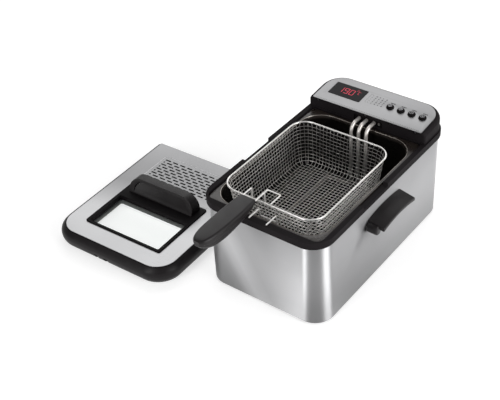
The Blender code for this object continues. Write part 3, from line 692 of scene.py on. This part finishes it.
def make_rim():
    ledge_top, ledge_under, opening_corner = 0.1797, 0.1765, 0.042
    rows = [row(RIM, RIM_LOW, RIM_CORNER), row(RIM, RIM_TOP, RIM_CORNER),
            row(WELL, RIM_TOP, *WELL_CORNERS), row(WELL, ledge_top, *WELL_CORNERS),
            row(LEDGE, ledge_top, opening_corner), row(LEDGE, ledge_under, opening_corner),
            row(WELL, ledge_under, *WELL_CORNERS), row(WELL, RIM_LOW, *WELL_CORNERS)]
    head_pocket = slab([rounded((-0.118, 0.118, 0.138, 0.2095), 0.006, 0.034)], 0.17, 0.1815)
    tongue_slot = slab([rounded(grow(TONGUE, 0.002), 0.006, steps=4)], 0.17, 0.19)
    cutters = [head_pocket, tongue_slot]
    for side in (-1, 1):        # a shallow notch over each carry handle
        x0, x1 = sorted((side * 0.1185, side * 0.14))
        cutters.append(bevelled(block(x0, x1, -0.084, -0.004, 0.18, 0.195), 0.0025, 4))
    mesh = combined(shell(rows, 0.0016, 4, closed=True), cutters)
    piece("rim_moulding", mesh, "cover_plastic", "fryer_body", "top_rim")


def make_pot():
    flange_low, flange_top = 0.18, 0.1833
    rows = [row(POT_LIP, flange_low, 0.011, 0.005), row(POT_LIP, flange_top, 0.011, 0.005),
            row(POT_MOUTH, flange_top, *MOUTH_CORNERS),
            row(grow(POT_MOUTH, -0.0008), 0.178, *MOUTH_CORNERS), row(POT_BASE, 0.062, 0.04)]
    # the base draws in: how far in from the wall, at what height, and the radius of its corners
    for inset, z, corner in ((0.004, 0.046, 0.036), (0.013, 0.0375, 0.028), (0.024, 0.035, 0.018)):
        rows.append(row(grow(POT_BASE, -inset), z, corner))
    mesh = thickened(shell(rows, 0.0013, 4, cap_first=False), 0.0012)
    piece("pot_shell", mesh, "pot_enamel_painted_shade", "fryer_body", "oil_pot")
    # a bright bead round the pot's mouth stands in for the highlight along its edge: painted highlight
    edge = ring_of(row(grow(POT_MOUTH, 0.0004), flange_top - 0.0001, *MOUTH_CORNERS), 20)
    piece("pot_mouth_highlight_bead", wire([edge], 0.0006, 8, closed=True), "worn_edge", "fryer_body")


def carry_section(side, y):
    """Section of a carry handle, which arches along Y and falls away outwards."""
    y0, y1 = CARRY_Y
    centre = (y0 + y1) / 2
    arch = 1 - ((y - centre) / (y1 - centre)) ** 2
    inner, outer = 0.145 + 0.005 * arch, 0.1375 + 0.0065 * arch
    reach = 0.16
    corners = [(CARRY_ROOT, inner), (reach, outer), (reach, outer - 0.0068), (CARRY_ROOT, inner - 0.007)]
    return np.array([(side * x, y, z) for x, z in soften(corners, 0.0022, 4, closed=True)])


def make_carry_handles():
    y0, y1 = CARRY_Y
    edge = 0.0014
    # places along the handle, and how far the section draws in there, so that the ends are rounded
    stations = [(y0, 0.00099), (y0 + 0.0004, 0.00044)]
    stations += [(y0 + edge + (y1 - y0 - 2 * edge) * i / 24, 0) for i in range(25)]
    stations += [(y1 - 0.0004, 0.00044), (y1, 0.00099)]
    for name, side in (("left", -1), ("right", 1)):
        rings = []
        for y, inset in stations:
            section = carry_section(side, y)
            hub = section.mean(0)
            span = section - hub
            rings.append((hub + span * (1 - inset / np.linalg.norm(span, axis=1)[:, None])).tolist())
        low, high = sorted((side * CARRY_ROOT, side * 0.149))
        webs = [slab([rounded((y, y + 0.0165, 0.1195, 0.1395), 0.0075, steps=8)], low, high, 0.003, "YZ")
                for y in (y0 - 0.007, y1 - 0.015)]
        piece(f"{name}_carry_grip", combined(loft(rings), webs, "UNION"), "grip_plastic", "fryer_body",
              f"{name}_carry_handle")


# ---------------------------------------------------------------- control head

def make_head_shells():
    # the cover's edge: how far in from the wall, and how far below the panel's face
    crown = ((0.016, 0.0013), (0.0065, 0.0013), (0.0052, 0.0016), (0.0038, 0.0024), (0.0026, 0.0036),
             (0.0016, 0.005), (0.0008, 0.0064), (0.0002, 0.0078), (0.0, 0.0092))
    x0, x1, y0, y1 = HEAD
    front_corner, rear_corner = HEAD_CORNERS
    wall, slope = 0.002, tan(PANEL_TILT)
    rings = []
    for inset, drop in crown:       # the front wall stays upright
        front, rear_inset = y0 + (0.009 if inset > 0.01 else 0.0), inset * 0.7
        outline = rounded((x0 + inset, x1 - inset, front, y1 - rear_inset), front_corner,
                          rear_corner - rear_inset, 20)
        rings.append([(x, y, PANEL_Z - drop + slope * (y - PANEL_Y)) for x, y in outline])
    rings += [ring_of(row(HEAD, HEAD_SEAM + z, *HEAD_CORNERS), 20) for z in (0.0008, 0.0003)]
    cover = thickened(loft(rings, cap_first=False, cap_last=False), wall)
    cutters = [block(-0.026, 0.036, 0.12, 0.138, 0.188, 0.2035)]
    backwards = Matrix.Rotation(pi / 2, 4, "X")
    for (x, z), radius in ((RESET_AT, 0.0033), (GLAND_AT, 0.0058)):
        cutters.append(turned([(0, 0.02), (radius, 0.02), (radius, 0), (0, 0)], (x, 0.224, z), backwards))
    piece("head_top_shell", combined(cover, cutters), "cover_plastic", "control_head", "head_cover")
    low, tongue_low, tongue_corner = RIM_TOP + 0.0003, 0.108, 0.006
    rows = [row(HEAD, HEAD_SEAM, *HEAD_CORNERS), row(HEAD, low, *HEAD_CORNERS),
            row(TONGUE, low, tongue_corner), row(TONGUE, tongue_low, tongue_corner)]
    piece("head_seat_shell", thickened(shell(rows, 0.0006, 2, cap_first=False), wall), "cover_plastic",
          "control_head", "head_base")


def button_places():
    return [BUTTON_X + BUTTON_PITCH * i for i in range(len(BUTTONS))]


def make_panel():
    outline = rounded((-0.1185, 0.1185, 0, PANEL_DEPTH), 0.003, 0.036, 16)
    holes = [rounded(DISPLAY, 0.0018, steps=5)]
    holes += [circle(x, BUTTON_Y, BUTTON_RADIUS + 0.0005, 40) for x in button_places()]
    tabs = [block(0.053 * i - 0.0016, 0.053 * i + 0.0016, 0, 0.0006, -0.0048, -0.0004)
            for i in range(-2, 3)]
    mesh = combined(slab([outline] + holes, -SHEET, 0, 0.0002), tabs, "UNION")
    piece("panel_sheet", mesh, "steel_panel_painted_shade", "control_head", "control_panel", PANEL)


def strips(boxes, z=0.0, lift=0.00004):
    """Thin printed marks, each from (x0, x1, y0, y1)."""
    work = bmesh.new()
    for x0, x1, y0, y1 in boxes:
        low, high = ([work.verts.new((x, y, level)) for x, y in ((x0, y0), (x1, y0), (x1, y1), (x0, y1))]
                     for level in (z, z + lift))
        work.faces.new(low[::-1])
        work.faces.new(high)
        for i in range(4):
            j = (i + 1) % 4
            work.faces.new((low[i], low[j], high[j], high[i]))
    return to_mesh(work)


def make_print():
    dash, gap = 0.0022, 0.0015
    count = int(0.226 / (dash + gap))
    start = -(count * (dash + gap) - gap) / 2
    dashes = [(start + i * (dash + gap), start + i * (dash + gap) + dash, 0.0032, 0.0039)
              for i in range(count)]
    piece("panel_front_dashes", strips(dashes), "print_grey", "control_head", place=PANEL)
    # a table of small pictograms: a bracket on its left, a column of dots, four columns of marks
    x0, y0, line_width = -0.0215, 0.0285, 0.0003
    marks = [(x0, x0 + line_width, y0 + 0.004, y0 + 0.03),
             (x0, x0 + 0.004, y0 + 0.03, y0 + 0.03 + line_width),
             (x0, x0 + 0.0024, y0 + 0.004, y0 + 0.004 + line_width)]
    widths = (0.0018, 0.003, 0.0024, 0.0034, 0.0026)
    for line in range(5):
        y = y0 + 0.0045 + line * 0.0056
        marks.append((x0 + 0.0052, x0 + 0.0066, y, y + 0.0014))
        for column in range(4):
            left = x0 + 0.012 + column * 0.0072
            width = widths[(line * 2 + column) % len(widths)]
            marks.append((left, left + width, y, y + 0.0012))
            marks.append((left + width * 0.25, left + width * 0.85, y + 0.0018, y + 0.0027))
    for i, x in enumerate(button_places()):     # a short mark behind each button
        left = x - 0.0048
        for part in range(4):
            width = widths[(i + part) % len(widths)] * 0.75
            marks.append((left, left + width, BUTTON_Y + 0.0108, BUTTON_Y + 0.0129))
            left += width + 0.0005
    piece("panel_print", strips(marks), "print_grey", "control_head", place=PANEL)


def segments(x, y, width, height, lit):
    """Boxes of the lit segments of one digit: a is the top one, g the middle one."""
    thick, half = width * 0.13, height / 2
    flat = (x + thick, x + width - thick)
    left, right = (x, x + thick), (x + width - thick, x + width)
    upper = (y + half + thick * 0.3, y + height - thick * 0.5)
    lower = (y + thick * 0.5, y + half - thick * 0.3)
    places = {"a": (*flat, y + height - thick, y + height), "b": (*right, *upper), "c": (*right, *lower),
              "d": (*flat, y, y + thick), "e": (*left, *lower), "f": (*left, *upper),
              "g": (*flat, y + half - thick / 2, y + half + thick / 2)}
    return [places[name] for name in lit]


def make_digits():
    """Seven-segment 190 with a degree sign and a small C, lit red behind the dark window."""
    left, low, pitch = -0.086, 0.0365, 0.0122
    boxes = []
    for i, lit in enumerate(("bc", "abcdfg", "abcdef")):
        boxes += segments(left + i * pitch, low, 0.0092, 0.016, lit)
    boxes += segments(left + 0.0362, low + 0.0115, 0.0036, 0.009, "abfg")
    boxes += segments(left + 0.0408, low + 0.008, 0.0046, 0.008, "adef")
    piece("display_digits", strips(boxes, 0.0004, 0.00005), "red_glow", "control_head", place=PANEL)


def cap_height(share):
    """Height of a button's domed top at a share of its radius."""
    return 0.0006 + 0.004 * sqrt(1 - share ** 2.4)


def symbol_cells(kind, *numbers):
    """Small cells of a bar (x0, x1, y0, y1), or of an arc (radius, start and end in degrees)."""
    if kind == "bar":
        x0, x1, y0, y1 = numbers
        steps = [x0 + (x1 - x0) * i / 6 for i in range(7)]
        return [((a, y0), (b, y0), (b, y1), (a, y1)) for a, b in zip(steps, steps[1:])]
    radius, start, end = numbers
    rim = radius + 0.0005
    angles = [radians(90 + start + (end - start) * i / 20) for i in range(21)]
    return [[(r * cos(t), r * sin(t)) for r, t in ((radius, a), (radius, b), (rim, b), (rim, a))]
            for a, b in zip(angles, angles[1:])]


def make_buttons():
    cap, foot = BUTTON_RADIUS, BUTTON_RADIUS + 0.0016
    profile = [(cap * share, cap_height(share)) for share in
               (0, 0.15, 0.3, 0.45, 0.6, 0.72, 0.82, 0.9, 0.95, 0.985, 1.0)]
    profile += [(cap, -0.0015), (foot, -0.0015), (foot, -0.0023), (0.0022, -0.0023), (0.0022, -0.0032),
                (0, -0.0032)]
    for name, x in zip(BUTTONS, button_places()):
        mesh = turned(profile, (x, BUTTON_Y, 0), steps=48)
        piece(name + "_cap", mesh, "black_plastic", name, name, PANEL)
    dash = ("bar", -0.0017, 0.0017, -0.0003, 0.0003)
    symbols = {
        "power_button": [("arc", 0.0014, 40, 320), ("bar", -0.0003, 0.0003, 0.0004, 0.0021)],
        "program_button": [("bar", -0.0016, 0.0016, y, y + 0.0005) for y in (-0.0015, -0.0003, 0.0009)],
        "minus_button": [dash],
        "plus_button": [dash, ("bar", -0.0003, 0.0003, 0.0003, 0.0017),
                        ("bar", -0.0003, 0.0003, -0.0017, -0.0003)]}
    for name, x in zip(BUTTONS, button_places()):
        work = bmesh.new()
        for shape in [("arc", 0.0032, 0, 360)] + symbols[name]:     # each has a ring round it
            for cell in symbol_cells(*shape):
                lifted = [(x + u, BUTTON_Y + v, cap_height(hypot(u, v) / cap) + 0.00006) for u, v in cell]
                work.faces.new([work.verts.new(point) for point in lifted])
        bmesh.ops.remove_doubles(work, verts=work.verts, dist=0.00001)
        mesh = thickened(to_mesh(work), 0.00005)
        piece(name + "_symbol", mesh, "print_light", name, place=PANEL)


def make_element():
    left, centre, right = TUBE_X
    start, leg, low, probe_low = 0.16, 0.105, 0.055, 0.066
    loop_x, loop_front = 0.07, -0.15
    corners = [(left, start, TUBE_Z), (left, leg, TUBE_Z), (left, leg, low), (-loop_x, leg, low),
               (-loop_x, loop_front, low), (loop_x, loop_front, low), (loop_x, leg, low), (right, leg, low),
               (right, leg, TUBE_Z), (right, start, TUBE_Z)]
    probe = [(centre, start, TUBE_Z), (centre, leg, TUBE_Z), (centre, leg, probe_low)]
    for name, path, node in (("element_tube", corners, "heating_element"),
                             ("probe_tube", probe, "thermostat_probe")):
        mesh = wire([bent_path(path, 0.015, 12)], TUBE_RADIUS, 20)
        piece(name, mesh, "element_steel_painted_shade", "control_head", node)


# ---------------------------------------------------------------- basket

def basket_profile():
    """Levels of the woven wall, from the floor up: how far out from the base, radius, height."""
    inset = 0.0008
    rows = [(-0.008, 0.019, 0.1225 + inset), (-0.0025 - inset / 2, 0.024, 0.1245 + inset / 2),
            (-inset, 0.026, 0.13), (0.009 - inset, 0.03, 0.203), (0.0098, 0.03, 0.2042)]
    rows = np.array(soften(rows, 0.003, 4))
    steps = np.linalg.norm(np.diff(rows[:, [0, 2]], axis=0), axis=1)
    length = np.concatenate([[0], np.cumsum(steps)])
    at = np.linspace(0, length[-1], int(round(length[-1] / MESH_PITCH)) + 1)
    return np.array([np.interp(at, length, rows[:, k]) for k in range(3)]).T


def wall_point(level, place):
    """Point of the wall at a place round it, and the wall's outward direction there. Places 0 to 1 are
    the front left corner, 1 to 2 the front, 2 to 3 the next corner, and so on to 8."""
    out, radius, z = level
    box = grow(BASKET_BASE, out - radius)
    hubs = [np.array((box[a], box[b], z)) for a, b in ((0, 2), (1, 2), (1, 3), (0, 3), (0, 2))]
    corner = int(place // 2)
    turn, slide = min(1, place % 2), max(0, place % 2 - 1)
    angle = pi * (1 + (corner + turn) / 2)
    direction = np.array((cos(angle), sin(angle), 0.0))
    return hubs[corner] * (1 - slide) + hubs[corner + 1] * slide + direction * radius, direction


def floor_lines(low, high):
    count = int(round((high - low) / MESH_PITCH))
    return [low + (high - low) * (i + 0.5) / count for i in range(count)]


def side_place(value, low, high, radius):
    """Place along a side and its corners: 0 to 1 in the first corner, 1 to 2 on the straight."""
    for offset, away, edge in ((low + radius - value, -1, 1), (value - high + radius, 1, 2)):
        if offset > 0:
            return edge + away * asin(min(1.0, offset / radius)) / (pi / 2)
    return 1 + (value - low - radius) / (high - low - 2 * radius)


def add_weave(vertices, faces, points, normals, closed=False):
    """A wire of the mesh, with a point between each two crossings to round its waves."""
    points, normals = np.array(points), np.array(normals)
    count = len(points)
    fine, facing = [], []
    for i in range(count if closed else count - 1):
        j = (i + 1) % count
        fine += [points[i], (points[i] + points[j]) / 2]
        facing += [normals[i], (normals[i] + normals[j]) / 2]
    if not closed:
        fine.append(points[-1])
        facing.append(normals[-1])
    fine, facing = np.array(fine), np.array(facing)
    along = tangents(fine, closed)
    facing = facing - along * (facing * along).sum(1)[:, None]
    facing /= np.linalg.norm(facing, axis=1)[:, None]
    add_wire(vertices, faces, fine, MESH_WIRE, 5, closed, facing)


def make_woven_basket():
    levels = basket_profile()
    top = len(levels) - 1
    out, radius, floor_z = levels[0]
    x0, x1, y0, y1 = grow(BASKET_BASE, out)
    along, across = floor_lines(x0, x1), floor_lines(y0, y1)
    # each line of the floor: the axis it runs along, its number and place, and the places of its feet
    lines = []
    for i, x in enumerate(along):
        place = side_place(x, x0, x1, radius)
        lines.append((1, i, x, (place, 7 - place)))
    for i, y in enumerate(across):
        place = side_place(y, y0, y1, radius)
        lines.append((0, i, y, ((9 - place) % 8, 2 + place)))
    feet = sorted(foot for line in lines for foot in line[3])
    spread = {foot: foot for foot in feet}
    for corner in (0, 2, 4, 6):     # as they rise to the rim, the wires in a corner space out evenly
        inside = [foot for foot in feet if corner < foot < corner + 1]
        spread.update({foot: corner + (rank + 0.5) / len(inside) for rank, foot in enumerate(inside)})
    vertices, faces = [], []

    def point_at(n, foot):
        return wall_point(levels[n], foot + (spread[foot] - foot) * n / top)

    def upright(foot, sign):
        """Points and normals of a wire from the floor's edge up to the rim."""
        points, normals = [], []
        for n in range(top + 1):
            point, direction = point_at(n, foot)
            outward, _, rise = levels[min(n + 1, top)] - levels[max(n - 1, 0)]
            normals.append((direction * rise - np.array((0, 0, outward))) / hypot(outward, rise))
            points.append(point + normals[-1] * MESH_LIFT * sign * (-1) ** n)
        return points, normals

    for axis, index, value, ends in lines:
        sign = 1 if index % 2 else -1
        (first, first_normals), (last, last_normals) = (upright(foot, sign) for foot in ends)
        low, high = sorted((first[0][axis], last[0][axis]))
        floor = []
        for n, other in enumerate(across if axis else along):
            if low + 0.001 < other < high - 0.001:
                base = (value, other) if axis else (other, value)
                lift = MESH_LIFT * (1 if axis else -1) * (-1) ** (index + n)
                floor.append(np.array([*base, floor_z + lift]))
        down = [np.array([0.0, 0.0, -1.0])] * len(floor)
        add_weave(vertices, faces, first[::-1] + floor + last, first_normals[::-1] + down + last_normals)

    for n in range(1, top):     # the level wires of the wall
        crossings = [point_at(n, foot) for foot in feet]
        points = [point - direction * MESH_LIFT * (-1) ** (i + n)
                  for i, (point, direction) in enumerate(crossings)]
        add_weave(vertices, faces, points, [direction for _, direction in crossings], closed=True)
    mesh = bpy.data.meshes.new("weave")
    mesh.from_pydata([tuple(v) for v in vertices], [], faces)
    piece("woven_basket", mesh, "mesh_wire_painted_shade", "basket", "basket_mesh", smooth=80)


def hairpin(name, xs, legs, bend, body, node):
    """A wire that runs through (y, z) points at one x, and back through them at the other."""
    left, right = xs
    corners = [(left, *leg) for leg in legs] + [(right, *leg) for leg in reversed(legs)]
    piece(name, wire([bent_path(corners, bend)], WIRE), "polished_wire", body, node)


def make_basket_wires():
    path = ring_of(row(RIM_WIRE, 0.205, 0.031), 16)
    piece("basket_rim", wire([path], 0.0016, 14, closed=True), "bright_wire", "basket", "basket_rim_wire")
    wall, tip, z, low = -0.1866, -0.215, 0.1886, 0.172
    hairpin("rest_hook", HOOK_X, [(tip, z), (wall, z), (wall + 0.0025, low)], 0.004, "basket", "drain_hook")
    front, rear, z = RIM_WIRE[2], -0.156, 0.2082
    hairpin("hook_bracket", (-0.0195, 0.0085), [(front, z), (rear, z)], 0.003, "basket", "handle_bracket")


def smooth_rows(rows, steps):
    """Rows with smooth in-between ones, through the given rows (a Catmull-Rom curve)."""
    padded = np.vstack([2 * rows[0] - rows[1], rows, 2 * rows[-1] - rows[-2]])
    made = []
    for a, b, c, d in zip(padded, padded[1:], padded[2:], padded[3:]):
        for step in range(steps):
            t = step / steps
            made.append(0.5 * (2 * b + (c - a) * t + (2 * a - 5 * b + 4 * c - d) * t ** 2
                               + (3 * b - 3 * c + d - a) * t ** 3))
    made.append(rows[-1])
    return made


def grip_section(y, half, low, high, round_low, round_high):
    outline = rounded((GRIP_X - half, GRIP_X + half, low, high), round_low, round_high, 6)
    return [(x, y, z) for x, z in outline]


def make_grip():
    # y, half width, bottom, split between the two shells, top
    fine = smooth_rows(np.array((
        (-0.204, 0.016, 0.212, 0.216, 0.2225), (-0.218, 0.018, 0.207, 0.2145, 0.2228),
        (-0.24, 0.0193, 0.2025, 0.213, 0.223), (-0.265, 0.0196, 0.199, 0.2118, 0.2232),
        (-0.29, 0.0192, 0.1975, 0.2112, 0.2235), (-0.312, 0.018, 0.1985, 0.2118, 0.2238),
        (-0.327, 0.0155, 0.202, 0.213, 0.2236), (-0.337, 0.0115, 0.2065, 0.2145, 0.223),
        (-0.3425, 0.006, 0.211, 0.216, 0.2215))), 6)
    upper = [grip_section(y, half, split, top, 0.0008, min(0.0052, half * 0.6, (top - split) * 0.62))
             for y, half, low, split, top in fine]
    lower = [grip_section(y, half - 0.0012, low, split - 0.0003,
                          min(0.006, half * 0.5, (split - low) * 0.7), 0.0006)
             for y, half, low, split, top in fine]
    slot = block(GRIP_X - 0.015, GRIP_X + 0.015, -0.245, -0.195, FORK_Z - 0.0016, FORK_Z + 0.0016)
    bore = turned([(0, 0.008), (0.0042, 0.008), (0.0042, 0), (0, 0)], (GRIP_X, -0.28, 0.195))
    for name, rings, cutter, node in (("grip_top_shell", upper, slot, "grip_upper"),
                                      ("grip_under_shell", lower, bore, "grip_lower")):
        piece(name, combined(loft(rings), [cutter]), "grip_plastic", "basket_handle", node, smooth=40)
    back, apex, toe = -0.2425, -0.175, 0.192
    legs = [(apex, toe), (apex, FORK_Z), (back, FORK_Z)]
    hairpin("grip_fork", (GRIP_X - FORK_HALF, GRIP_X + FORK_HALF), legs, 0.0035, "basket_handle",
            "handle_fork")


# ---------------------------------------------------------------- lid

def lid_ring(values):
    """Ring of the lid's rim. It reaches past the plate, but stays below its rear edge."""
    reach, rear, z = values
    x0, x1, y0, y1 = LID_PLATE
    outline = rounded((x0 - reach, x1 + reach, y0 - reach, y1 - rear), max(LID_CORNER + reach, 0.03),
                      0.003, 16)
    return [(x, y, min(z, LID_LEDGE) if y > 0.15 else z) for x, y in outline]


def make_lid_rim():
    profile = [(-0.007, 0.011, 0), (-0.007, 0.011, LID_LEDGE), (0.0004, 0.0035, LID_LEDGE),
               (0.0004, 0.0028, LID_TOP + 0.0002), (0.0016, 0.002, LID_TOP + 0.0002),
               (0.006, 0.0012, 0.0322), (0.01, 0.001, 0.0275), (0.0119, 0.0008, 0.0205),
               (0.0107, 0.0008, 0.011), (0.0065, 0.0014, 0.003), (0.003, 0.0028, 0)]
    rings = [lid_ring(r) for r in soften(profile, 0.0026, 4, closed=True)]
    notches = [block(x, x + 0.0085, -0.18, -0.145, -0.001, 0.014) for x in (-0.031, -0.007)]
    mesh = combined(loft(rings, closed=True), notches)
    piece("lid_rim_moulding", mesh, "lid_plastic", "lid", "lid_rim", LID)


def slot_outlines():
    """Staggered rows of vent slots; every other row starts and ends with a short slot."""
    length, height, pitch_x, pitch_y = 0.0132, 0.0036, 0.0188, 0.0079
    start, y = -0.0842, 0.1175
    end = start + pitch_x * 8 + length
    outlines = []
    for line in range(9):
        shift = pitch_x / 2 if line % 2 else 0
        for column in range(-1, 9):
            x0 = max(start + shift + pitch_x * column, start)
            x1 = min(start + shift + pitch_x * column + length, end)
            if x1 > x0 and (shift or column >= 0):
                outlines.append((x0, x1, y - height / 2, y + height / 2))
        y -= pitch_y
    return outlines


def make_lid_plate():
    opening = rounded((-0.0895, 0.0895, -0.1205, -0.0225), 0.004, steps=6)
    plate = slab([rounded(LID_PLATE, LID_CORNER, 0.002, 20), opening], LID_TOP - SHEET, LID_TOP, 0.0002)
    slots = slab([rounded(box, 0.0007, steps=2) for box in slot_outlines()], 0.033, 0.037)
    piece("lid_sheet", combined(plate, [slots]), "lid_steel_painted_reflection", "lid", "lid_plate", LID, 12)
    border = ring_of(row((-0.0915, 0.09, 0.03, 0.1275), -0.0001, 0.008), 10)
    bead = wire([border], 0.0008, 12, closed=True)      # squashed, so that it is a low bead
    bead.transform(Matrix.Translation((0, 0, LID_TOP)) @ Matrix.Diagonal((1, 1, 0.42, 1)))
    piece("lid_grille_bead", bead, "brushed_steel", "lid", place=LID)


def make_window():
    low, ledge = 0.0275, 0.038
    rows = [row(WINDOW, low, 0.003), row(WINDOW, ledge, 0.003), row(BEZEL, ledge, 0.004),
            row(BEZEL, LID_TOP + 0.0003, 0.004)]
    mesh = thickened(shell(rows, 0.0008, 3, 8, cap_first=False, cap_last=False), 0.0016)
    piece("window_surround", mesh, "black_plastic", "lid", "window_bezel", LID)


def make_lid_handle():
    low, high, top_bar, end_post = 0.0383, 0.0705, 0.005, 0.012
    front, rear = LID_HANDLE_Y
    x, crest = LID_HANDLE_X, high - top_bar
    outline = rounded((-x, x, low, high), 0.002, 0.026, 16)
    mesh = bevelled(slab([outline], front, rear, 0.0, "XZ"), 0.0052, 6)
    hollow = rounded((-x + end_post, x - end_post, low - 0.01, crest), 0.002, 0.02, 14)
    web, rear_depth = 0.0025, 0.01
    cutters = []
    for face, away, depth, slope in ((front, -1, rear - front - rear_depth - web, 0.62),
                                     (rear, 1, rear_depth, 0.36)):
        near, deep = sorted((face + away * 0.02, face - away * depth))
        shear = Matrix.Identity(4)      # the web slopes out towards its foot
        shear[1][2] = -away * slope
        shear[1][3] = away * slope * crest
        cutters.append(slab([hollow], near, deep, 0.0, "XZ"))
        cutters[-1].transform(shear)
    mesh = bevelled(combined(mesh, cutters), 0.0009, 2)
    for vertex in mesh.vertices:        # the front leans back, so that the top is narrower than the foot
        share = min(1.0, max(0.0, (vertex.co.z - low) / (high - low)))
        vertex.co.y = rear - (rear - vertex.co.y) * (1 - HANDLE_LEAN * share)
    piece("lid_grip", mesh, "grip_plastic", "lid", "lid_handle", LID, 40)


def make_filter_pad():
    """The filter mat: a soft felt block, crowned between its edges and dimpled in rows."""
    low, high = Vector((-0.0855, 0.046, 0.0265)), Vector((0.0855, 0.124, 0.034))
    work = bmesh.new()
    bmesh.ops.create_cube(work, size=1)
    bmesh.ops.subdivide_edges(work, edges=work.edges, cuts=40, use_grid_fill=True)
    for v in work.verts:
        u, w, h = v.co * 2
        edge = (1 - abs(u) ** 14) * (1 - abs(w) ** 8)
        dimple = 0.09 * (cos(u * 9 * pi) * cos(w * 4 * pi)) * edge
        pinch = 1 - 0.02 * (1 - h * h)
        swell = Vector((u * pinch, w * pinch, h * (0.8 + 0.1 * edge + dimple)))
        v.co = (low + high) / 2 + (high - low) / 2 * swell
    pad = piece("filter_pad", to_mesh(work), "filter_felt", "lid", "filter_mat", LID, 60)


# ---------------------------------------------------------------- stage

def make_stage():
    work = bmesh.new()
    bmesh.ops.create_grid(work, x_segments=1, y_segments=1, size=6.0)
    floor = linked("floor", to_mesh(work))
    white = material("floor_white", (0.55, 0.55, 0.55), 0.0, 0.8, Specular_IOR_Level=0.0,
                     Emission_Color=(1, 1, 1, 1), Emission_Strength=0.62)
    floor.data.materials.append(white[0])


def make_lights():
    world = bpy.data.worlds.new("studio")
    bpy.context.scene.world = world
    world.use_nodes = True
    fill(world.node_tree.nodes["Background"], {"Color": (1.0, 1.0, 1.0, 1.0), "Strength": 0.25})
    # soft boxes by their direction round the fryer, height above it, size and power
    distance, aim = Vector((2.3, 0, 0)), Vector((0, 0, 0.1))
    for name, azimuth, elevation, size, power in (
            ("front_box", -102, 24, (0.6, 1.6), 22.0), ("side_box", -1, 24, (1.2, 1.6), 36.0),
            ("fill_box", 60, 24, (1.3, 1.6), 9.0), ("back_box", 129, 40, (2.4, 1.6), 21.0)):
        at = (Matrix.Rotation(radians(azimuth), 3, "Z")
              @ Matrix.Rotation(radians(-elevation), 3, "Y") @ distance)
        light = bpy.data.lights.new(name, "AREA")
        light.shape = "RECTANGLE"
        light.size, light.size_y = size
        light.energy = power
        obj = linked(name, light)
        obj.location = BODY @ at
        obj.rotation_mode = "QUATERNION"
        obj.rotation_quaternion = (aim - at).to_track_quat("-Z", "Y")


def make_camera():
    """The camera was fitted in the body's frame: where it stands and how it is turned."""
    azimuth, elevation, roll = (radians(a) for a in (39.0005, 37.898, -3.769))
    turn = (Matrix.Rotation(azimuth, 4, "Z") @ Matrix.Rotation(pi / 2 - elevation, 4, "X")
            @ Matrix.Rotation(roll, 4, "Z"))
    camera = bpy.data.cameras.new("camera")
    camera.lens = 75.217
    camera.clip_start, camera.clip_end = 0.05, 50
    obj = linked("camera", camera)
    obj.matrix_world = Matrix.Translation(BODY @ Vector((0.8524, -1.2823, 1.2972))) @ turn
    bpy.context.scene.camera = obj


bpy.context.scene.view_settings.view_transform = "Standard"
bpy.context.scene.view_settings.look = "None"
for make in (make_camera, make_stage, make_lights, dress_cad_nodes, make_housing, make_rim, make_pot,
             make_carry_handles, make_head_shells, make_panel, make_print, make_digits, make_buttons,
             make_element, make_woven_basket, make_basket_wires, make_grip, make_lid_rim, make_lid_plate,
             make_window, make_lid_handle, make_filter_pad):
    make()
